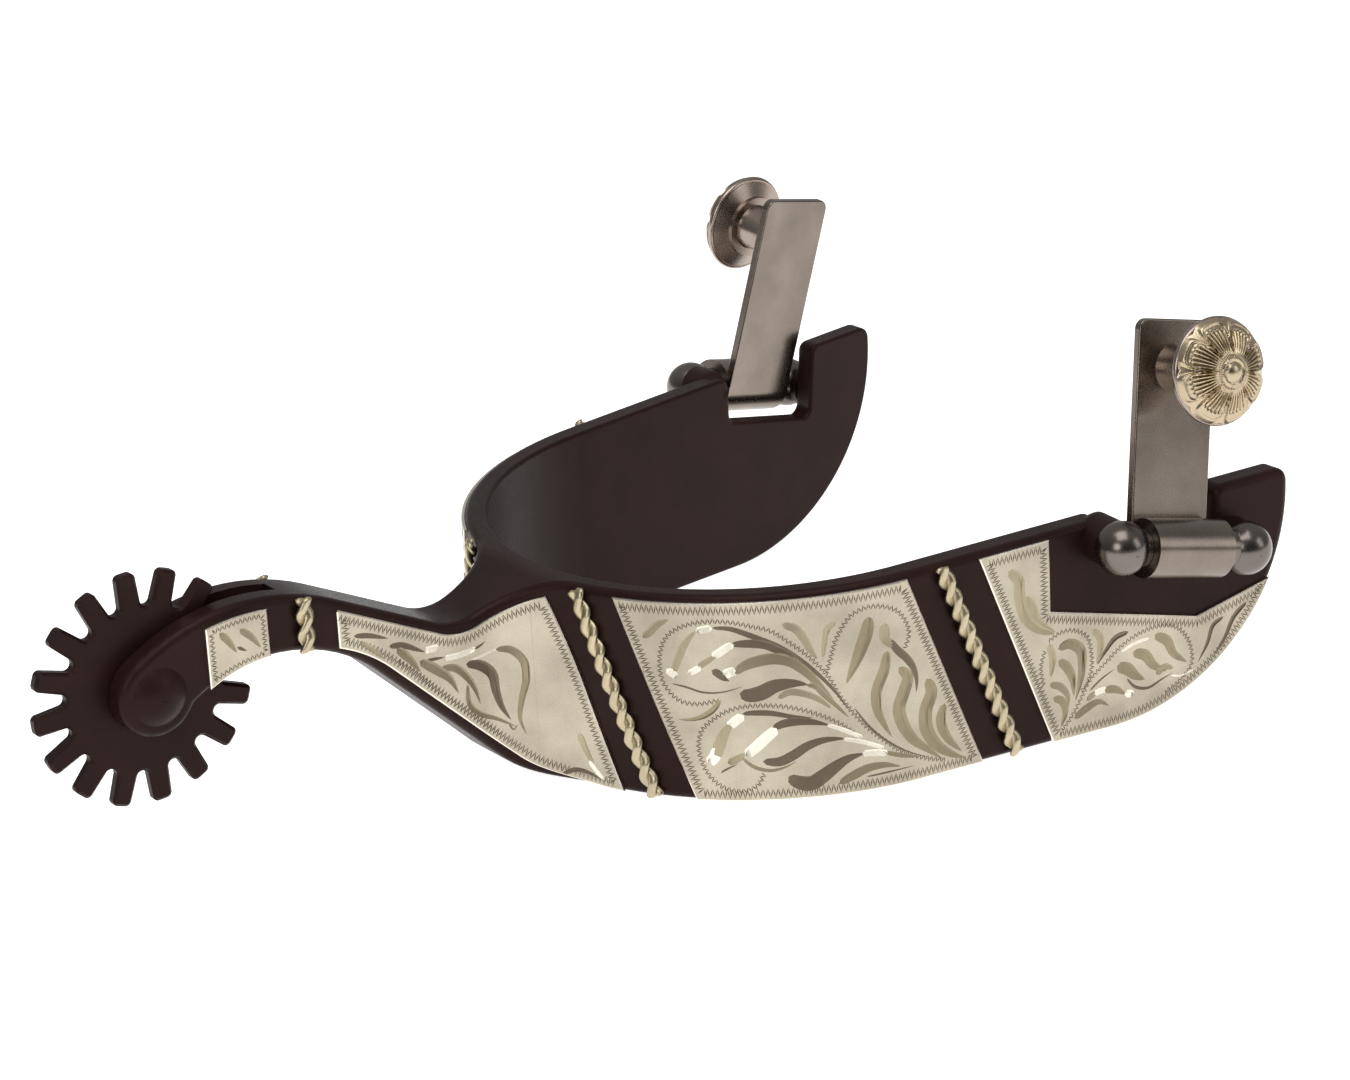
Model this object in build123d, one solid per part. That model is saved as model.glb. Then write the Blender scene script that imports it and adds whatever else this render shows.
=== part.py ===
from build123d import *
import os
from math import asin, atan2, cos, degrees, hypot, radians, sin, sqrt, tan

# A western horse-riding spur. Millimetres, +Z up, standing on the lower edge of its heel band.
# +X runs forward from the rowel to the tips of the band, and the XZ plane is the middle plane.
# "Right" is the -Y side and "left" is the +Y side of a rider who looks along +X.
# Lengths along X below are measured from the rowel's axle, and heights from the ground.

# Rowel, the toothed wheel at the back
ROWEL_RADIUS = 15.5
ROWEL_ROOT_RADIUS = 10.9
ROWEL_TEETH = 16
ROWEL_THICKNESS = 1.8
ROWEL_PHASE = 4.0  # degrees by which a tooth is off the straight-back direction
TOOTH_TIP_WIDTH = 2.5
GULLET_RADIUS = 0.85
TOOTH_ROUNDING = 0.75
ROWEL_EDGE_BREAK = 0.4
ROWEL_HEIGHT = 26.5

# Rowel pin, a rivet with two domed heads
PIN_RADIUS = 1.6
PIN_HEAD_RADIUS = 3.8
PIN_HEAD_HEIGHT = 1.5
PIN_SEAT_CLEARANCE = 0.02
ROWEL_BORE_CLEARANCE = 0.1

# Shank with its fork for the rowel
SHANK_WIDTH = 9.2
SLOT_WIDTH = 2.8
SLOT_CLEARANCE = 3.8
EAR_RADIUS = 5.4
CREST_X = 12.7
CREST_RISE = 8.2  # above the arch under it
CREST_RADIUS = 31.0
ARCH_X = 15.9
ARCH_HEIGHT = 27.5
ARCH_RADIUS = 23.0
BELLY_TURN = 25.0
BELLY_ROUNDING = 1.2
DESCENT_TURN = 44.0
FOOT_RADIUS = 13.0
DIP_X = 44.5
DIP_HEIGHT = 24.6
DIP_RADIUS = 8.0
SHOULDER_X = 57.7
SHOULDER_RADIUS = 6.0
FLARE_RADIUS = 12.0

# Heel band
ARC_CENTRE = 97.2
ARC_RADIUS = 41.1
SIDE_THICKNESS = 4.0
HEEL_THICKNESS = 3.0
SIDE_FLARE = 7.1  # degrees that each side opens outward
HEEL_HEIGHT = 28.4
TIP_RISE = 2.8  # of the top edge, from the heel to the tip
TIP_REACH = 151.5
TIP_CURVE_LENGTH = 29.3
TIP_CURVE_RADIUS = 30.0
TIP_CURVE_TURN = 43.0
TIP_CORNER = 1.8
EDGE_ROUNDING = 1.1
INNER_ROUNDING = 0.5

# Notch in the band's top edge, where the button strap folds inward
NOTCH_SETBACK = 29.7  # from the tip back to the rear wall
NOTCH_LENGTH = 16.5
NOTCH_DEPTH = 7.1
NOTCH_WALL_LEAN = 6.0
NOTCH_ROUNDING = 1.5

# Hinge of the button strap
HINGE_SETBACK = 1.25  # of the rear ball, behind the notch
HINGE_DROP = 2.9  # of the rear ball, below the top edge
HINGE_STANDOFF = 4.3
HINGE_PITCH = 12.2
BALL_RADIUS = 3.7
HINGE_PIN_RADIUS = 2.6
HINGE_PIN_SOCKET = 2.2
HINGE_CLEARANCE = 0.07
EYE_PLAY = 2.74  # of the eye along the pin, between the balls
EYE_GAP_REAR = {"right": 0.8, "left": 1.6}  # where each eye has slid to
NECK_RADIUS = 2.7
NECK_ROOT_RADIUS = 3.2
FRONT_NECK_SHIFT = 0.9
SADDLE_RADIUS = 3.4
SADDLE_REACH = 0.6
SADDLE_RISE = 0.7
SADDLE_GAP = 0.3

# Button strap, a steel strip rolled into an eye at its lower end
STRAP_WIDTH = 12.5
STRAP_LENGTH = 30.5
STRAP_THICKNESS = 1.35
STRAP_CORNER = 1.5
STRAP_EDGE_BREAK = 0.25
STRAP_LEAN = {"right": 11.8, "left": 7.9}  # degrees inward

# Button, a turned stud with a domed cap
BUTTON_HEIGHT = 23.9
STUD_FOOT_RADIUS = 3.45
STUD_WAIST_RADIUS = 3.0
COLLAR_RADIUS = 4.6
COLLAR_START = 6.8
COLLAR_THICKNESS = 0.7
BUTTON_RADIUS = 7.3
CAP_INSET = 0.25
DISC_START = 8.4
DISC_END = 9.5
CAP_RIM = 0.6
CAP_RISE = 2.5
CAP_BOSS_RADIUS = 1.5
CAP_BOSS_HEIGHT = 0.5
CAP_BOSS_ROUNDING = 0.4

# Overlay plates and twisted wires on the outside of the shank and the band
PLATE_THICKNESS = 0.5
PLATE_MARGIN = 0.7
SHANK_PLATE_MARGIN = 1.3
PLATE_LOWER_MARGIN = 0.3
FLARE_PLATE_SHIFT = 1.5
STRIP_SLANT = 21.0
WIRE_WIDTH = 2.1
WIRE_HEIGHT = 1.5
WIRE_INSET = 0.2
WIRE_ROUNDING = 0.7
SHANK_TIP_PLATE_START = 7.0
SHANK_TIP_PLATE_END = 15.9
SHANK_WIRE_X = 21.1
SHANK_FLARE_PLATE_START = 25.9
# Stations along the band's outer face, from the middle of the heel, at half the band's height
FLARE_PLATE_END = 13.0
HEEL_WIRE = 17.8
SIDE_PLATE_START = 23.3
# Lengths back from the tip along the same face
SIDE_PLATE_SETBACK = 56.0
FRONT_WIRE_SETBACK = 50.7
END_PLATE_LENGTH = 44.8
END_PLATE_SETBACK = 9.6  # of its upright edge, behind the notch
END_PLATE_STEP_DROP = 10.87
END_PLATE_STEP_LENGTH = 23.5
END_PLATE_STEP_PITCH = 14.4
END_PLATE_TIP_PITCH = 13.5

# Worked out from the sizes above
CREST_HEIGHT = ARCH_HEIGHT + CREST_RISE
TIP_HEIGHT = HEEL_HEIGHT + TIP_RISE
TIP_CURVE_START = TIP_REACH - TIP_CURVE_LENGTH
NOTCH_REAR = TIP_REACH - NOTCH_SETBACK
ORIGIN_X = (TIP_REACH - ROWEL_RADIUS) / 2
HALF_WIDTH = SHANK_WIDTH / 2
SLOT_REACH = ROWEL_RADIUS + SLOT_CLEARANCE
HEEL_X = ARC_CENTRE - ARC_RADIUS
HALF_HEIGHT = HEEL_HEIGHT / 2
FLARE = radians(SIDE_FLARE)
PITCH = radians(HINGE_PITCH)
ARC_END_X = ARC_CENTRE - ARC_RADIUS * sin(FLARE)
ARC_END_Y = ARC_RADIUS * cos(FLARE)
ARC_LENGTH = ARC_RADIUS * radians(90 - SIDE_FLARE)
TIP_STATION = ARC_LENGTH + (TIP_REACH - ARC_END_X) / cos(FLARE)
INNER_CENTRE = ARC_CENTRE - SIDE_THICKNESS + HEEL_THICKNESS
INNER_RADIUS = ARC_RADIUS - SIDE_THICKNESS
FLARE_Y = HALF_WIDTH + FLARE_RADIUS
FLARE_X = ARC_CENTRE - sqrt((ARC_RADIUS + FLARE_RADIUS) ** 2 - FLARE_Y**2)
NOTCH_FRONT = NOTCH_REAR + NOTCH_LENGTH
EYE_BORE = HINGE_PIN_RADIUS + HINGE_CLEARANCE
EYE_RADIUS = EYE_BORE + STRAP_THICKNESS
STRAP_FACE = STRAP_THICKNESS - EYE_RADIUS
BALL_END = sqrt(BALL_RADIUS**2 - HINGE_PIN_RADIUS**2)
BALL_SPACING = STRAP_WIDTH + EYE_PLAY + 2 * BALL_END
PIN_AXIS = Vector(cos(PITCH) * cos(FLARE), -cos(PITCH) * sin(FLARE), -sin(PITCH))
OUTBOARD = Vector(-sin(FLARE), -cos(FLARE), 0)
LARGE = 300
OVERRUN = 10  # of a cutting outline, past the tip
NEAR = 0.01  # two points this close are taken as one


def top_height(x):
    """Height of the band's top edge."""
    return HEEL_HEIGHT + (TIP_HEIGHT - HEEL_HEIGHT) * (x - HEEL_X) / (TIP_REACH - HEEL_X)


def side_y(x):
    """Distance of the band's straight side from the middle plane, at its outer face."""
    return ARC_END_Y + (x - ARC_END_X) * tan(FLARE)


def mirrored(point):
    """The same point in plan, on the other side of the middle plane."""
    return point[0], -point[1]


def cut_sideways(face):
    """Solid with this face as its side view, right through the object."""
    return extrude(Plane.XZ.offset(-LARGE / 2) * face, LARGE)


def cut_downward(outline):
    """Solid with this outline in plan, right through the object."""
    return extrude(Pos(0, 0, -LARGE / 2) * make_face(outline), LARGE)


def plan_outline(outward=0.0):
    """Plan of the forging, its outer faces moved outward by a given amount."""
    beyond = TIP_REACH + OVERRUN
    radius = ARC_RADIUS + outward
    share = radius / (ARC_RADIUS + FLARE_RADIUS)
    corner = (ARC_CENTRE - radius * sin(FLARE), radius * cos(FLARE))
    reach = (beyond, corner[1] + (beyond - corner[0]) * tan(FLARE))
    meet = (ARC_CENTRE - (ARC_CENTRE - FLARE_X) * share, FLARE_Y * share)
    on_arc = (ARC_CENTRE - radius * sqrt(0.5), radius * sqrt(0.5))
    shank_end = (FLARE_X, HALF_WIDTH + outward)
    rear = (-2 * EAR_RADIUS, HALF_WIDTH + outward)
    inner_corner = (INNER_CENTRE - INNER_RADIUS * sin(FLARE), INNER_RADIUS * cos(FLARE))
    inner_reach = (beyond, inner_corner[1] + (beyond - inner_corner[0]) * tan(FLARE))
    inner_heel = (INNER_CENTRE - INNER_RADIUS, 0)
    curves = [
        Line(rear, mirrored(rear)),
        ThreePointArc(inner_corner, inner_heel, mirrored(inner_corner)),
    ]
    for side in (lambda point: point, mirrored):
        curves += [
            Line(side(inner_corner), side(inner_reach)),
            Line(side(inner_reach), side(reach)),
            Line(side(reach), side(corner)),
            ThreePointArc(side(corner), side(on_arc), side(meet)),
            TangentArc(side(shank_end), side(meet), tangent=(1, 0)),
            Line(side(shank_end), side(rear)),
        ]
    return curves


def tip_curves():
    """Side view of the band's tip, from the lower edge up to the top edge."""
    turn = radians(TIP_CURVE_TURN)
    start = (TIP_CURVE_START, 0)
    bend_height = TIP_CURVE_RADIUS * (1 - cos(turn))
    bend = (TIP_CURVE_START + TIP_CURVE_RADIUS * sin(turn), bend_height)
    lower = TangentArc(start, bend, tangent=(1, 0))
    upper = TangentArc(bend, (TIP_REACH, TIP_HEIGHT), tangent=(cos(turn), sin(turn)))
    return [lower, upper]


def notch_points():
    """Corners of the notch in side view, from the front of its mouth to the rear."""
    floor_rear = top_height(NOTCH_REAR) - NOTCH_DEPTH
    floor_front = floor_rear - NOTCH_LENGTH * tan(PITCH)
    lean = (top_height(NOTCH_FRONT) - floor_front) * tan(radians(NOTCH_WALL_LEAN))
    return [
        (NOTCH_FRONT + lean, top_height(NOTCH_FRONT + lean)),
        (NOTCH_FRONT, floor_front),
        (NOTCH_REAR, floor_rear),
        (NOTCH_REAR, top_height(NOTCH_REAR)),
    ]


def underside_curves():
    """Side view of the underside, from the ears over the arch and down to the band's lower edge."""
    turn = radians(DESCENT_TURN)
    bend = radians(BELLY_TURN)
    belly = (EAR_RADIUS * cos(bend), ROWEL_HEIGHT - EAR_RADIUS * sin(bend))
    rear = TangentArc((ARCH_X, ARCH_HEIGHT), belly, tangent=(-1, 0))
    front = JernArc((ARCH_X, ARCH_HEIGHT), (1, 0), ARCH_RADIUS, -DESCENT_TURN)
    foot_height = FOOT_RADIUS * (1 - cos(turn))
    foot_x = (front @ 1).X + ((front @ 1).Y - foot_height) / tan(turn)
    descent = Line(front @ 1, (foot_x, foot_height))
    return [rear, front, descent, JernArc(descent @ 1, descent % 1, FOOT_RADIUS, DESCENT_TURN)]


def double_bend(start, end, first_radius, last_radius, side, end_slope=0.0):
    """Arc, line and arc from a level start to an end of a given slope, turning to one side first."""
    turned = radians(end_slope)
    run = end[0] + side * last_radius * sin(turned) - start[0]
    rise = end[1] - side * last_radius * cos(turned) - start[1] - side * first_radius
    angle = degrees(atan2(rise, run) + side * asin((first_radius + last_radius) / hypot(run, rise)))
    first = JernArc(start, (1, 0), first_radius, angle)
    last = JernArc(end, (-cos(turned), -sin(turned)), last_radius, angle - end_slope)
    return [first, Line(first @ 1, last @ 1), last]


def upperside_curves():
    """Side view of the shank's top, from the ears over the crest and the dip to the band's top edge."""
    crest = (CREST_X, CREST_HEIGHT)
    dip = (DIP_X, DIP_HEIGHT)
    lift = CREST_HEIGHT - ROWEL_HEIGHT
    rear_radius = (CREST_X**2 + lift**2 - EAR_RADIUS**2) / (2 * (lift - EAR_RADIUS))
    lean = asin(CREST_X / (rear_radius - EAR_RADIUS))
    tail = (-EAR_RADIUS * sin(lean), ROWEL_HEIGHT + EAR_RADIUS * cos(lean))
    slope = degrees(atan2(TIP_HEIGHT - HEEL_HEIGHT, TIP_REACH - HEEL_X))
    shoulder = (SHOULDER_X, top_height(SHOULDER_X))
    rear = TangentArc(crest, tail, tangent=(-1, 0))
    descent = double_bend(crest, dip, CREST_RADIUS, DIP_RADIUS, -1)
    return [rear] + descent + double_bend(dip, shoulder, DIP_RADIUS, SHOULDER_RADIUS, 1, slope)


def side_face(notched=True):
    """Side view of the whole forging, from the ears at the rowel to the tips of the band."""
    top = upperside_curves()
    underside = underside_curves()
    belly = underside[0] @ 1
    ear = ThreePointArc(top[0] @ 1, (-EAR_RADIUS, ROWEL_HEIGHT), belly)
    tip = tip_curves()
    notch = notch_points() if notched else []
    edge = Polyline([tip[-1] @ 1] + notch + [(SHOULDER_X, top_height(SHOULDER_X))])
    base = Line(underside[-1] @ 1, tip[0] @ 0)
    face = make_face([ear, edge, base] + top + underside + tip)
    if notched:
        corners = [v for v in face.vertices() for x, z in notch if hypot(v.X - x, v.Y - z) < NEAR]
        face = fillet(corners, NOTCH_ROUNDING)
    for corner, rounding in ((tip[-1] @ 1, TIP_CORNER), (belly, BELLY_ROUNDING)):
        face = fillet(face.vertices().sort_by_distance(corner)[0], rounding)
    return face


def on_outer_face(point):
    """Whether a point lies on the outer side faces of the forging."""
    x, y = point.X, abs(point.Y)
    if x > ARC_END_X:
        distances = [(y - side_y(x)) * cos(FLARE)]
    else:
        distances = [
            hypot(x - ARC_CENTRE, y) - ARC_RADIUS,
            hypot(x - FLARE_X, y - FLARE_Y) - FLARE_RADIUS,
            y - HALF_WIDTH,
        ]
    return min(abs(distance) for distance in distances) < NEAR


def on_inner_face(point):
    """Whether a point lies on the inner side faces of the band."""
    x, y = point.X, abs(point.Y)
    inner_end_x = INNER_CENTRE - INNER_RADIUS * sin(FLARE)
    if x > inner_end_x:
        distance = (y - INNER_RADIUS * cos(FLARE)) * cos(FLARE) - (x - inner_end_x) * sin(FLARE)
    else:
        distance = hypot(x - INNER_CENTRE, y) - INNER_RADIUS
    return abs(distance) < NEAR


def is_seam(edge):
    """Whether an edge only divides a smooth face, upright or crosswise."""
    run = edge @ 1 - edge @ 0
    upright = hypot(run.X, run.Y) < NEAR and edge.length > HALF_HEIGHT
    crosswise = hypot(run.X, run.Z) < NEAR and edge.geom_type == GeomType.LINE
    return upright or crosswise


def make_yoke():
    """The forging: heel band, shank and fork in one piece."""
    yoke = cut_sideways(side_face()) & cut_downward(plan_outline())
    for on_face, rounding in ((on_outer_face, EDGE_ROUNDING), (on_inner_face, INNER_ROUNDING)):
        yoke = fillet([e for e in yoke.edges() if on_face(e @ 0.5) and not is_seam(e)], rounding)
    slot = Pos(SLOT_REACH - LARGE / 2, 0, ROWEL_HEIGHT) * Box(LARGE, SLOT_WIDTH, LARGE)
    bore = Cylinder(PIN_RADIUS + PIN_SEAT_CLEARANCE, LARGE, rotation=(90, 0, 0))
    return yoke - slot - Pos(0, 0, ROWEL_HEIGHT) * bore


def make_rowel():
    """The toothed wheel, about its own centre."""
    pitch = 360 / ROWEL_TEETH
    reach = ROWEL_RADIUS + 1
    mouth = reach * radians(pitch) - TOOTH_TIP_WIDTH
    bottom = Pos(ROWEL_ROOT_RADIUS + GULLET_RADIUS, 0) * Circle(GULLET_RADIUS)
    opening = Line((reach, -mouth / 2), (reach, mouth / 2))
    gullet = make_hull(bottom.edges() + opening.edges())
    gullets = [Rot(0, 0, (tooth + 0.5) * pitch) * gullet for tooth in range(ROWEL_TEETH)]
    wheel = Circle(ROWEL_RADIUS) - gullets
    tips = [v for v in wheel.vertices() if hypot(v.X, v.Y) > ROWEL_RADIUS - NEAR]
    wheel = fillet(tips, TOOTH_ROUNDING)
    blank = extrude(wheel, ROWEL_THICKNESS / 2, both=True)
    rims = blank.edges().group_by(Axis.Z)
    rowel = chamfer(rims[0] + rims[-1], ROWEL_EDGE_BREAK)
    rowel -= Cylinder(PIN_RADIUS + ROWEL_BORE_CLEARANCE, ROWEL_THICKNESS)
    return Pos(0, 0, ROWEL_HEIGHT) * Rot(90, 0, 0) * Rot(0, 0, 180 + ROWEL_PHASE) * rowel


def make_rowel_pin():
    """The rivet through both ears, with a domed head on each."""
    outline = Polyline(
        (0, HALF_WIDTH + PIN_HEAD_HEIGHT),
        (0, 0),
        (PIN_RADIUS, 0),
        (PIN_RADIUS, HALF_WIDTH),
        (PIN_HEAD_RADIUS, HALF_WIDTH),
    )
    dome = TangentArc(outline @ 0, outline @ 1, tangent=(1, 0))
    half = revolve(make_face([outline, dome]), Axis.Y)
    return Pos(0, 0, ROWEL_HEIGHT) * (half + mirror(half, about=Plane.XZ))


def skin(thickness):
    """A layer of this thickness all over the outer face of the forging's right side."""
    layer = cut_downward(plan_outline(thickness)) - cut_downward(plan_outline())
    return layer & Pos(0, -LARGE / 2, 0) * Box(LARGE * 2, LARGE, LARGE)


def profile(forward, upward):
    """The forging's side view without its notches, moved, as a solid right through the object."""
    return cut_sideways(Pos(forward, upward) * side_face(notched=False))


def slanted_frame(station):
    """Frame on the band's outer face, its Y axis up the slant and its Z axis outward."""
    if station < ARC_LENGTH:
        angle = station / ARC_RADIUS
        point = (ARC_CENTRE - ARC_RADIUS * cos(angle), -ARC_RADIUS * sin(angle), HALF_HEIGHT)
        along = (sin(angle), -cos(angle), 0)
        outward = (-cos(angle), -sin(angle), 0)
    else:
        rest = station - ARC_LENGTH
        point = (ARC_END_X + rest * cos(FLARE), -ARC_END_Y - rest * sin(FLARE), HALF_HEIGHT)
        along = (cos(FLARE), -sin(FLARE), 0)
        outward = OUTBOARD
    return Plane(point, x_dir=along, z_dir=outward) * Rot(0, 0, STRIP_SLANT)


def ahead(station):
    """Everything ahead of a slanted line across the band."""
    return slanted_frame(station) * Pos(LARGE / 2, 0, 0) * Box(LARGE, LARGE, LARGE)


def between(start, end):
    """Everything between two distances from the rowel's axle."""
    return Pos((start + end) / 2, 0, 0) * Box(end - start, LARGE, LARGE)


def make_plates():
    """The engraved overlay plates of the right side."""
    layer = skin(PLATE_THICKNESS)
    shank_area = layer & profile(0, -SHANK_PLATE_MARGIN)
    band_area = layer & profile(0, -PLATE_MARGIN) & profile(-PLATE_MARGIN, PLATE_LOWER_MARGIN)
    tip_plate = between(SHANK_TIP_PLATE_START, SHANK_TIP_PLATE_END)
    flare_plate = between(SHANK_FLARE_PLATE_START, ARC_CENTRE) - ahead(FLARE_PLATE_END)
    upright_x = NOTCH_REAR - END_PLATE_SETBACK
    step_start = top_height(upright_x) - END_PLATE_STEP_DROP
    step_x = upright_x + END_PLATE_STEP_LENGTH
    step_end = step_start - END_PLATE_STEP_LENGTH * tan(radians(END_PLATE_STEP_PITCH))
    tip_x = TIP_REACH + OVERRUN
    tip_end = step_end + (tip_x - step_x) * tan(radians(END_PLATE_TIP_PITCH))
    corners = [(upright_x, LARGE), (upright_x, step_start), (step_x, step_end), (tip_x, tip_end)]
    above_step = make_face(Polyline(corners + [(tip_x, LARGE)], close=True))
    return {
        "shank_tip_plate": shank_area & profile(0, PLATE_LOWER_MARGIN) & tip_plate,
        "shank_flare_plate": shank_area & profile(FLARE_PLATE_SHIFT, PLATE_LOWER_MARGIN) & flare_plate,
        "side_plate": band_area & ahead(SIDE_PLATE_START) - ahead(TIP_STATION - SIDE_PLATE_SETBACK),
        "end_plate": (band_area & ahead(TIP_STATION - END_PLATE_LENGTH)) - cut_sideways(above_step),
    }


def make_ropes():
    """The twisted wires of the right side, as plain rounded strips."""
    layer = skin(WIRE_HEIGHT) & profile(0, -WIRE_INSET) & profile(0, WIRE_INSET)
    strip = Box(WIRE_WIDTH, 3 * HEEL_HEIGHT, 8 * WIRE_HEIGHT)
    strips = {
        "shank_rope": Pos(SHANK_WIRE_X, -HALF_WIDTH, HALF_HEIGHT) * Rot(90, 0, 0) * strip,
        "heel_rope": slanted_frame(HEEL_WIRE) * strip,
        "front_rope": slanted_frame(TIP_STATION - FRONT_WIRE_SETBACK) * strip,
    }
    ropes = {}
    for name, area in strips.items():
        rope = layer & area
        outer = [e for e in rope.edges() if e.length > 2 * WIRE_WIDTH and not on_outer_face(e @ 0.5)]
        ropes[name] = fillet(outer, WIRE_ROUNDING)
    return ropes


def pin_plane(point, outward=OUTBOARD):
    """Frame with its X axis along the hinge pin and its Z axis outward."""
    return Plane(point, x_dir=PIN_AXIS, z_dir=outward)


def rear_ball_centre():
    """Centre of the rear ball of the right side's hinge."""
    x = NOTCH_REAR - HINGE_SETBACK
    return Vector(x, -side_y(x) - HINGE_STANDOFF, top_height(x) - HINGE_DROP)


def make_hinge(yoke):
    """The two ball-ended lugs and the pin between them, on the right side."""
    rear_ball = rear_ball_centre()
    front_ball = rear_ball + PIN_AXIS * BALL_SPACING
    to_face = HINGE_STANDOFF * cos(FLARE)
    neck = Pos(0, 0, -to_face / 2) * Cone(NECK_ROOT_RADIUS, NECK_RADIUS, to_face)
    saddle_end = rear_ball - OUTBOARD * (to_face + SADDLE_REACH)
    saddle_end.Z = top_height(saddle_end.X) + SADDLE_RISE - SADDLE_RADIUS
    arm = saddle_end - rear_ball
    saddle = Plane(rear_ball + arm / 2, z_dir=arm) * Cylinder(SADDLE_RADIUS, arm.length)
    saddle += Pos(saddle_end) * Sphere(SADDLE_RADIUS)
    saddle &= between(0, NOTCH_REAR - SADDLE_GAP)
    pin_start = BALL_END - HINGE_PIN_SOCKET
    pin_length = BALL_SPACING - 2 * pin_start
    centre = pin_plane(rear_ball + PIN_AXIS * (BALL_SPACING / 2)) * Rot(0, 90, 0)
    socket = centre * Cylinder(HINGE_PIN_RADIUS + PIN_SEAT_CLEARANCE, pin_length)
    rear = pin_plane(rear_ball) * (Sphere(BALL_RADIUS) + neck) + saddle
    front = pin_plane(front_ball) * (Sphere(BALL_RADIUS) + Pos(FRONT_NECK_SHIFT, 0, 0) * neck)
    return {
        "hinge_lug_rear": rear - yoke - socket,
        "hinge_lug_front": front - yoke - socket,
        "hinge_pin": centre * Cylinder(HINGE_PIN_RADIUS, pin_length),
    }


def make_strap():
    """The button strap in its own frame: X along the hinge pin, Y up the strap, Z outward."""
    plate = Pos(STRAP_WIDTH / 2, STRAP_LENGTH / 2) * Rectangle(STRAP_WIDTH, STRAP_LENGTH)
    top_corners = plate.vertices().group_by(Axis.Y)[-1]
    plate = Pos(0, 0, -EYE_RADIUS) * extrude(fillet(top_corners, STRAP_CORNER), STRAP_THICKNESS)
    rims = [e for e in plate.edges() if abs((e % 0.5).Z) < 0.5 and (e @ 0.5).Y > NEAR]
    plate = fillet(rims, STRAP_EDGE_BREAK)
    across = Pos(STRAP_WIDTH / 2, 0, 0) * Rot(0, 90, 0)
    eye = across * Cylinder(EYE_RADIUS, STRAP_WIDTH)
    return plate + eye - across * Cylinder(EYE_BORE, STRAP_WIDTH * 2)


def make_stud():
    """The turned post and disc of a button, standing on z = 0."""
    rim = (DISC_END - DISC_START) / 2
    rim_centre = BUTTON_RADIUS - rim
    waist = ThreePointArc(
        (STUD_FOOT_RADIUS, 0), (STUD_WAIST_RADIUS, COLLAR_START / 2), (STUD_FOOT_RADIUS, COLLAR_START)
    )
    collar = Polyline(
        (STUD_FOOT_RADIUS, COLLAR_START),
        (COLLAR_RADIUS, COLLAR_START),
        (COLLAR_RADIUS, COLLAR_START + COLLAR_THICKNESS),
        (rim_centre, DISC_START),
    )
    edge = ThreePointArc((rim_centre, DISC_START), (BUTTON_RADIUS, DISC_START + rim), (rim_centre, DISC_END))
    rest = Polyline((rim_centre, DISC_END), (0, DISC_END), (0, 0), (STUD_FOOT_RADIUS, 0))
    return revolve(Rot(90, 0, 0) * make_face([waist, collar, edge, rest]), Axis.Z)


def make_cap():
    """The domed cap of a button, standing on z = 0."""
    radius = BUTTON_RADIUS - CAP_INSET
    outline = Polyline((0, CAP_RIM + CAP_RISE), (0, 0), (radius, 0), (radius, CAP_RIM))
    dome = TangentArc(outline @ 0, outline @ 1, tangent=(1, 0))
    cap = revolve(Rot(90, 0, 0) * make_face([outline, dome]), Axis.Z)
    boss_height = CAP_RISE + CAP_BOSS_HEIGHT
    boss = Pos(0, 0, CAP_RIM + boss_height / 2) * Cylinder(CAP_BOSS_RADIUS, boss_height)
    return cap + fillet(boss.edges().sort_by(Axis.Z)[-1], CAP_BOSS_ROUNDING)


def make_button(side):
    """The strap, stud and cap of this side, as they would stand on the right side."""
    lean = radians(STRAP_LEAN[side])
    upright = OUTBOARD.cross(PIN_AXIS)
    outward = OUTBOARD * cos(lean) + upright * sin(lean)
    frame = pin_plane(rear_ball_centre() + PIN_AXIS * (BALL_END + EYE_GAP_REAR[side]), outward)
    seat = frame * Pos(STRAP_WIDTH / 2, BUTTON_HEIGHT, STRAP_FACE)
    return {
        "button_strap": frame * make_strap(),
        "button_stud": seat * make_stud(),
        "button_cap": seat * Pos(0, 0, DISC_END) * make_cap(),
    }


def make_parts():
    """Every piece, by the name of its node."""
    yoke = make_yoke()
    parts = {"yoke": yoke, "rowel": make_rowel(), "rowel_pin": make_rowel_pin()}
    trim = make_plates() | make_ropes() | make_hinge(yoke)
    for side in STRAP_LEAN:
        for name, solid in (trim | make_button(side)).items():
            if side == "left":
                solid = mirror(solid, about=Plane.XZ)
            parts[f"{name}_{side}"] = solid
    return parts


if __name__ == "__main__":
    os.makedirs("parts", exist_ok=True)
    for node, solid in make_parts().items():
        export_step(Pos(-ORIGIN_X, 0, 0) * solid, f"parts/{node}.step")
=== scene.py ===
"""A western spur: browned steel, engraved overlay plates, twisted wires and two gilt buttons."""

from math import atan2, ceil, cos, exp, floor, hypot, pi, radians, sin, sqrt, tan

import bpy
import numpy as np
from bpy.props import FloatProperty, FloatVectorProperty, IntProperty, PointerProperty
from mathutils import Euler, Matrix, Vector
from mathutils.geometry import delaunay_2d_cdt


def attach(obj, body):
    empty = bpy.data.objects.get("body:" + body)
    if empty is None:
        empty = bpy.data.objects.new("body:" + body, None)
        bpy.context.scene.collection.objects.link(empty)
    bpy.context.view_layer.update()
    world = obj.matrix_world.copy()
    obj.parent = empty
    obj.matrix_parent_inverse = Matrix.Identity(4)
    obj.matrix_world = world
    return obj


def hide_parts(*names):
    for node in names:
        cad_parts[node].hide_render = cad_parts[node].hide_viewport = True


bl_info = {
    "name": "Western spur",
    "version": (1, 0, 0),
    "blender": (4, 5, 0),
    "location": "3D View > Sidebar > Spur",
    "description": "Dresses a western spur with engraved plates, twisted wires, gilt caps and its stage",
    "category": "Add Mesh",
}

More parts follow.
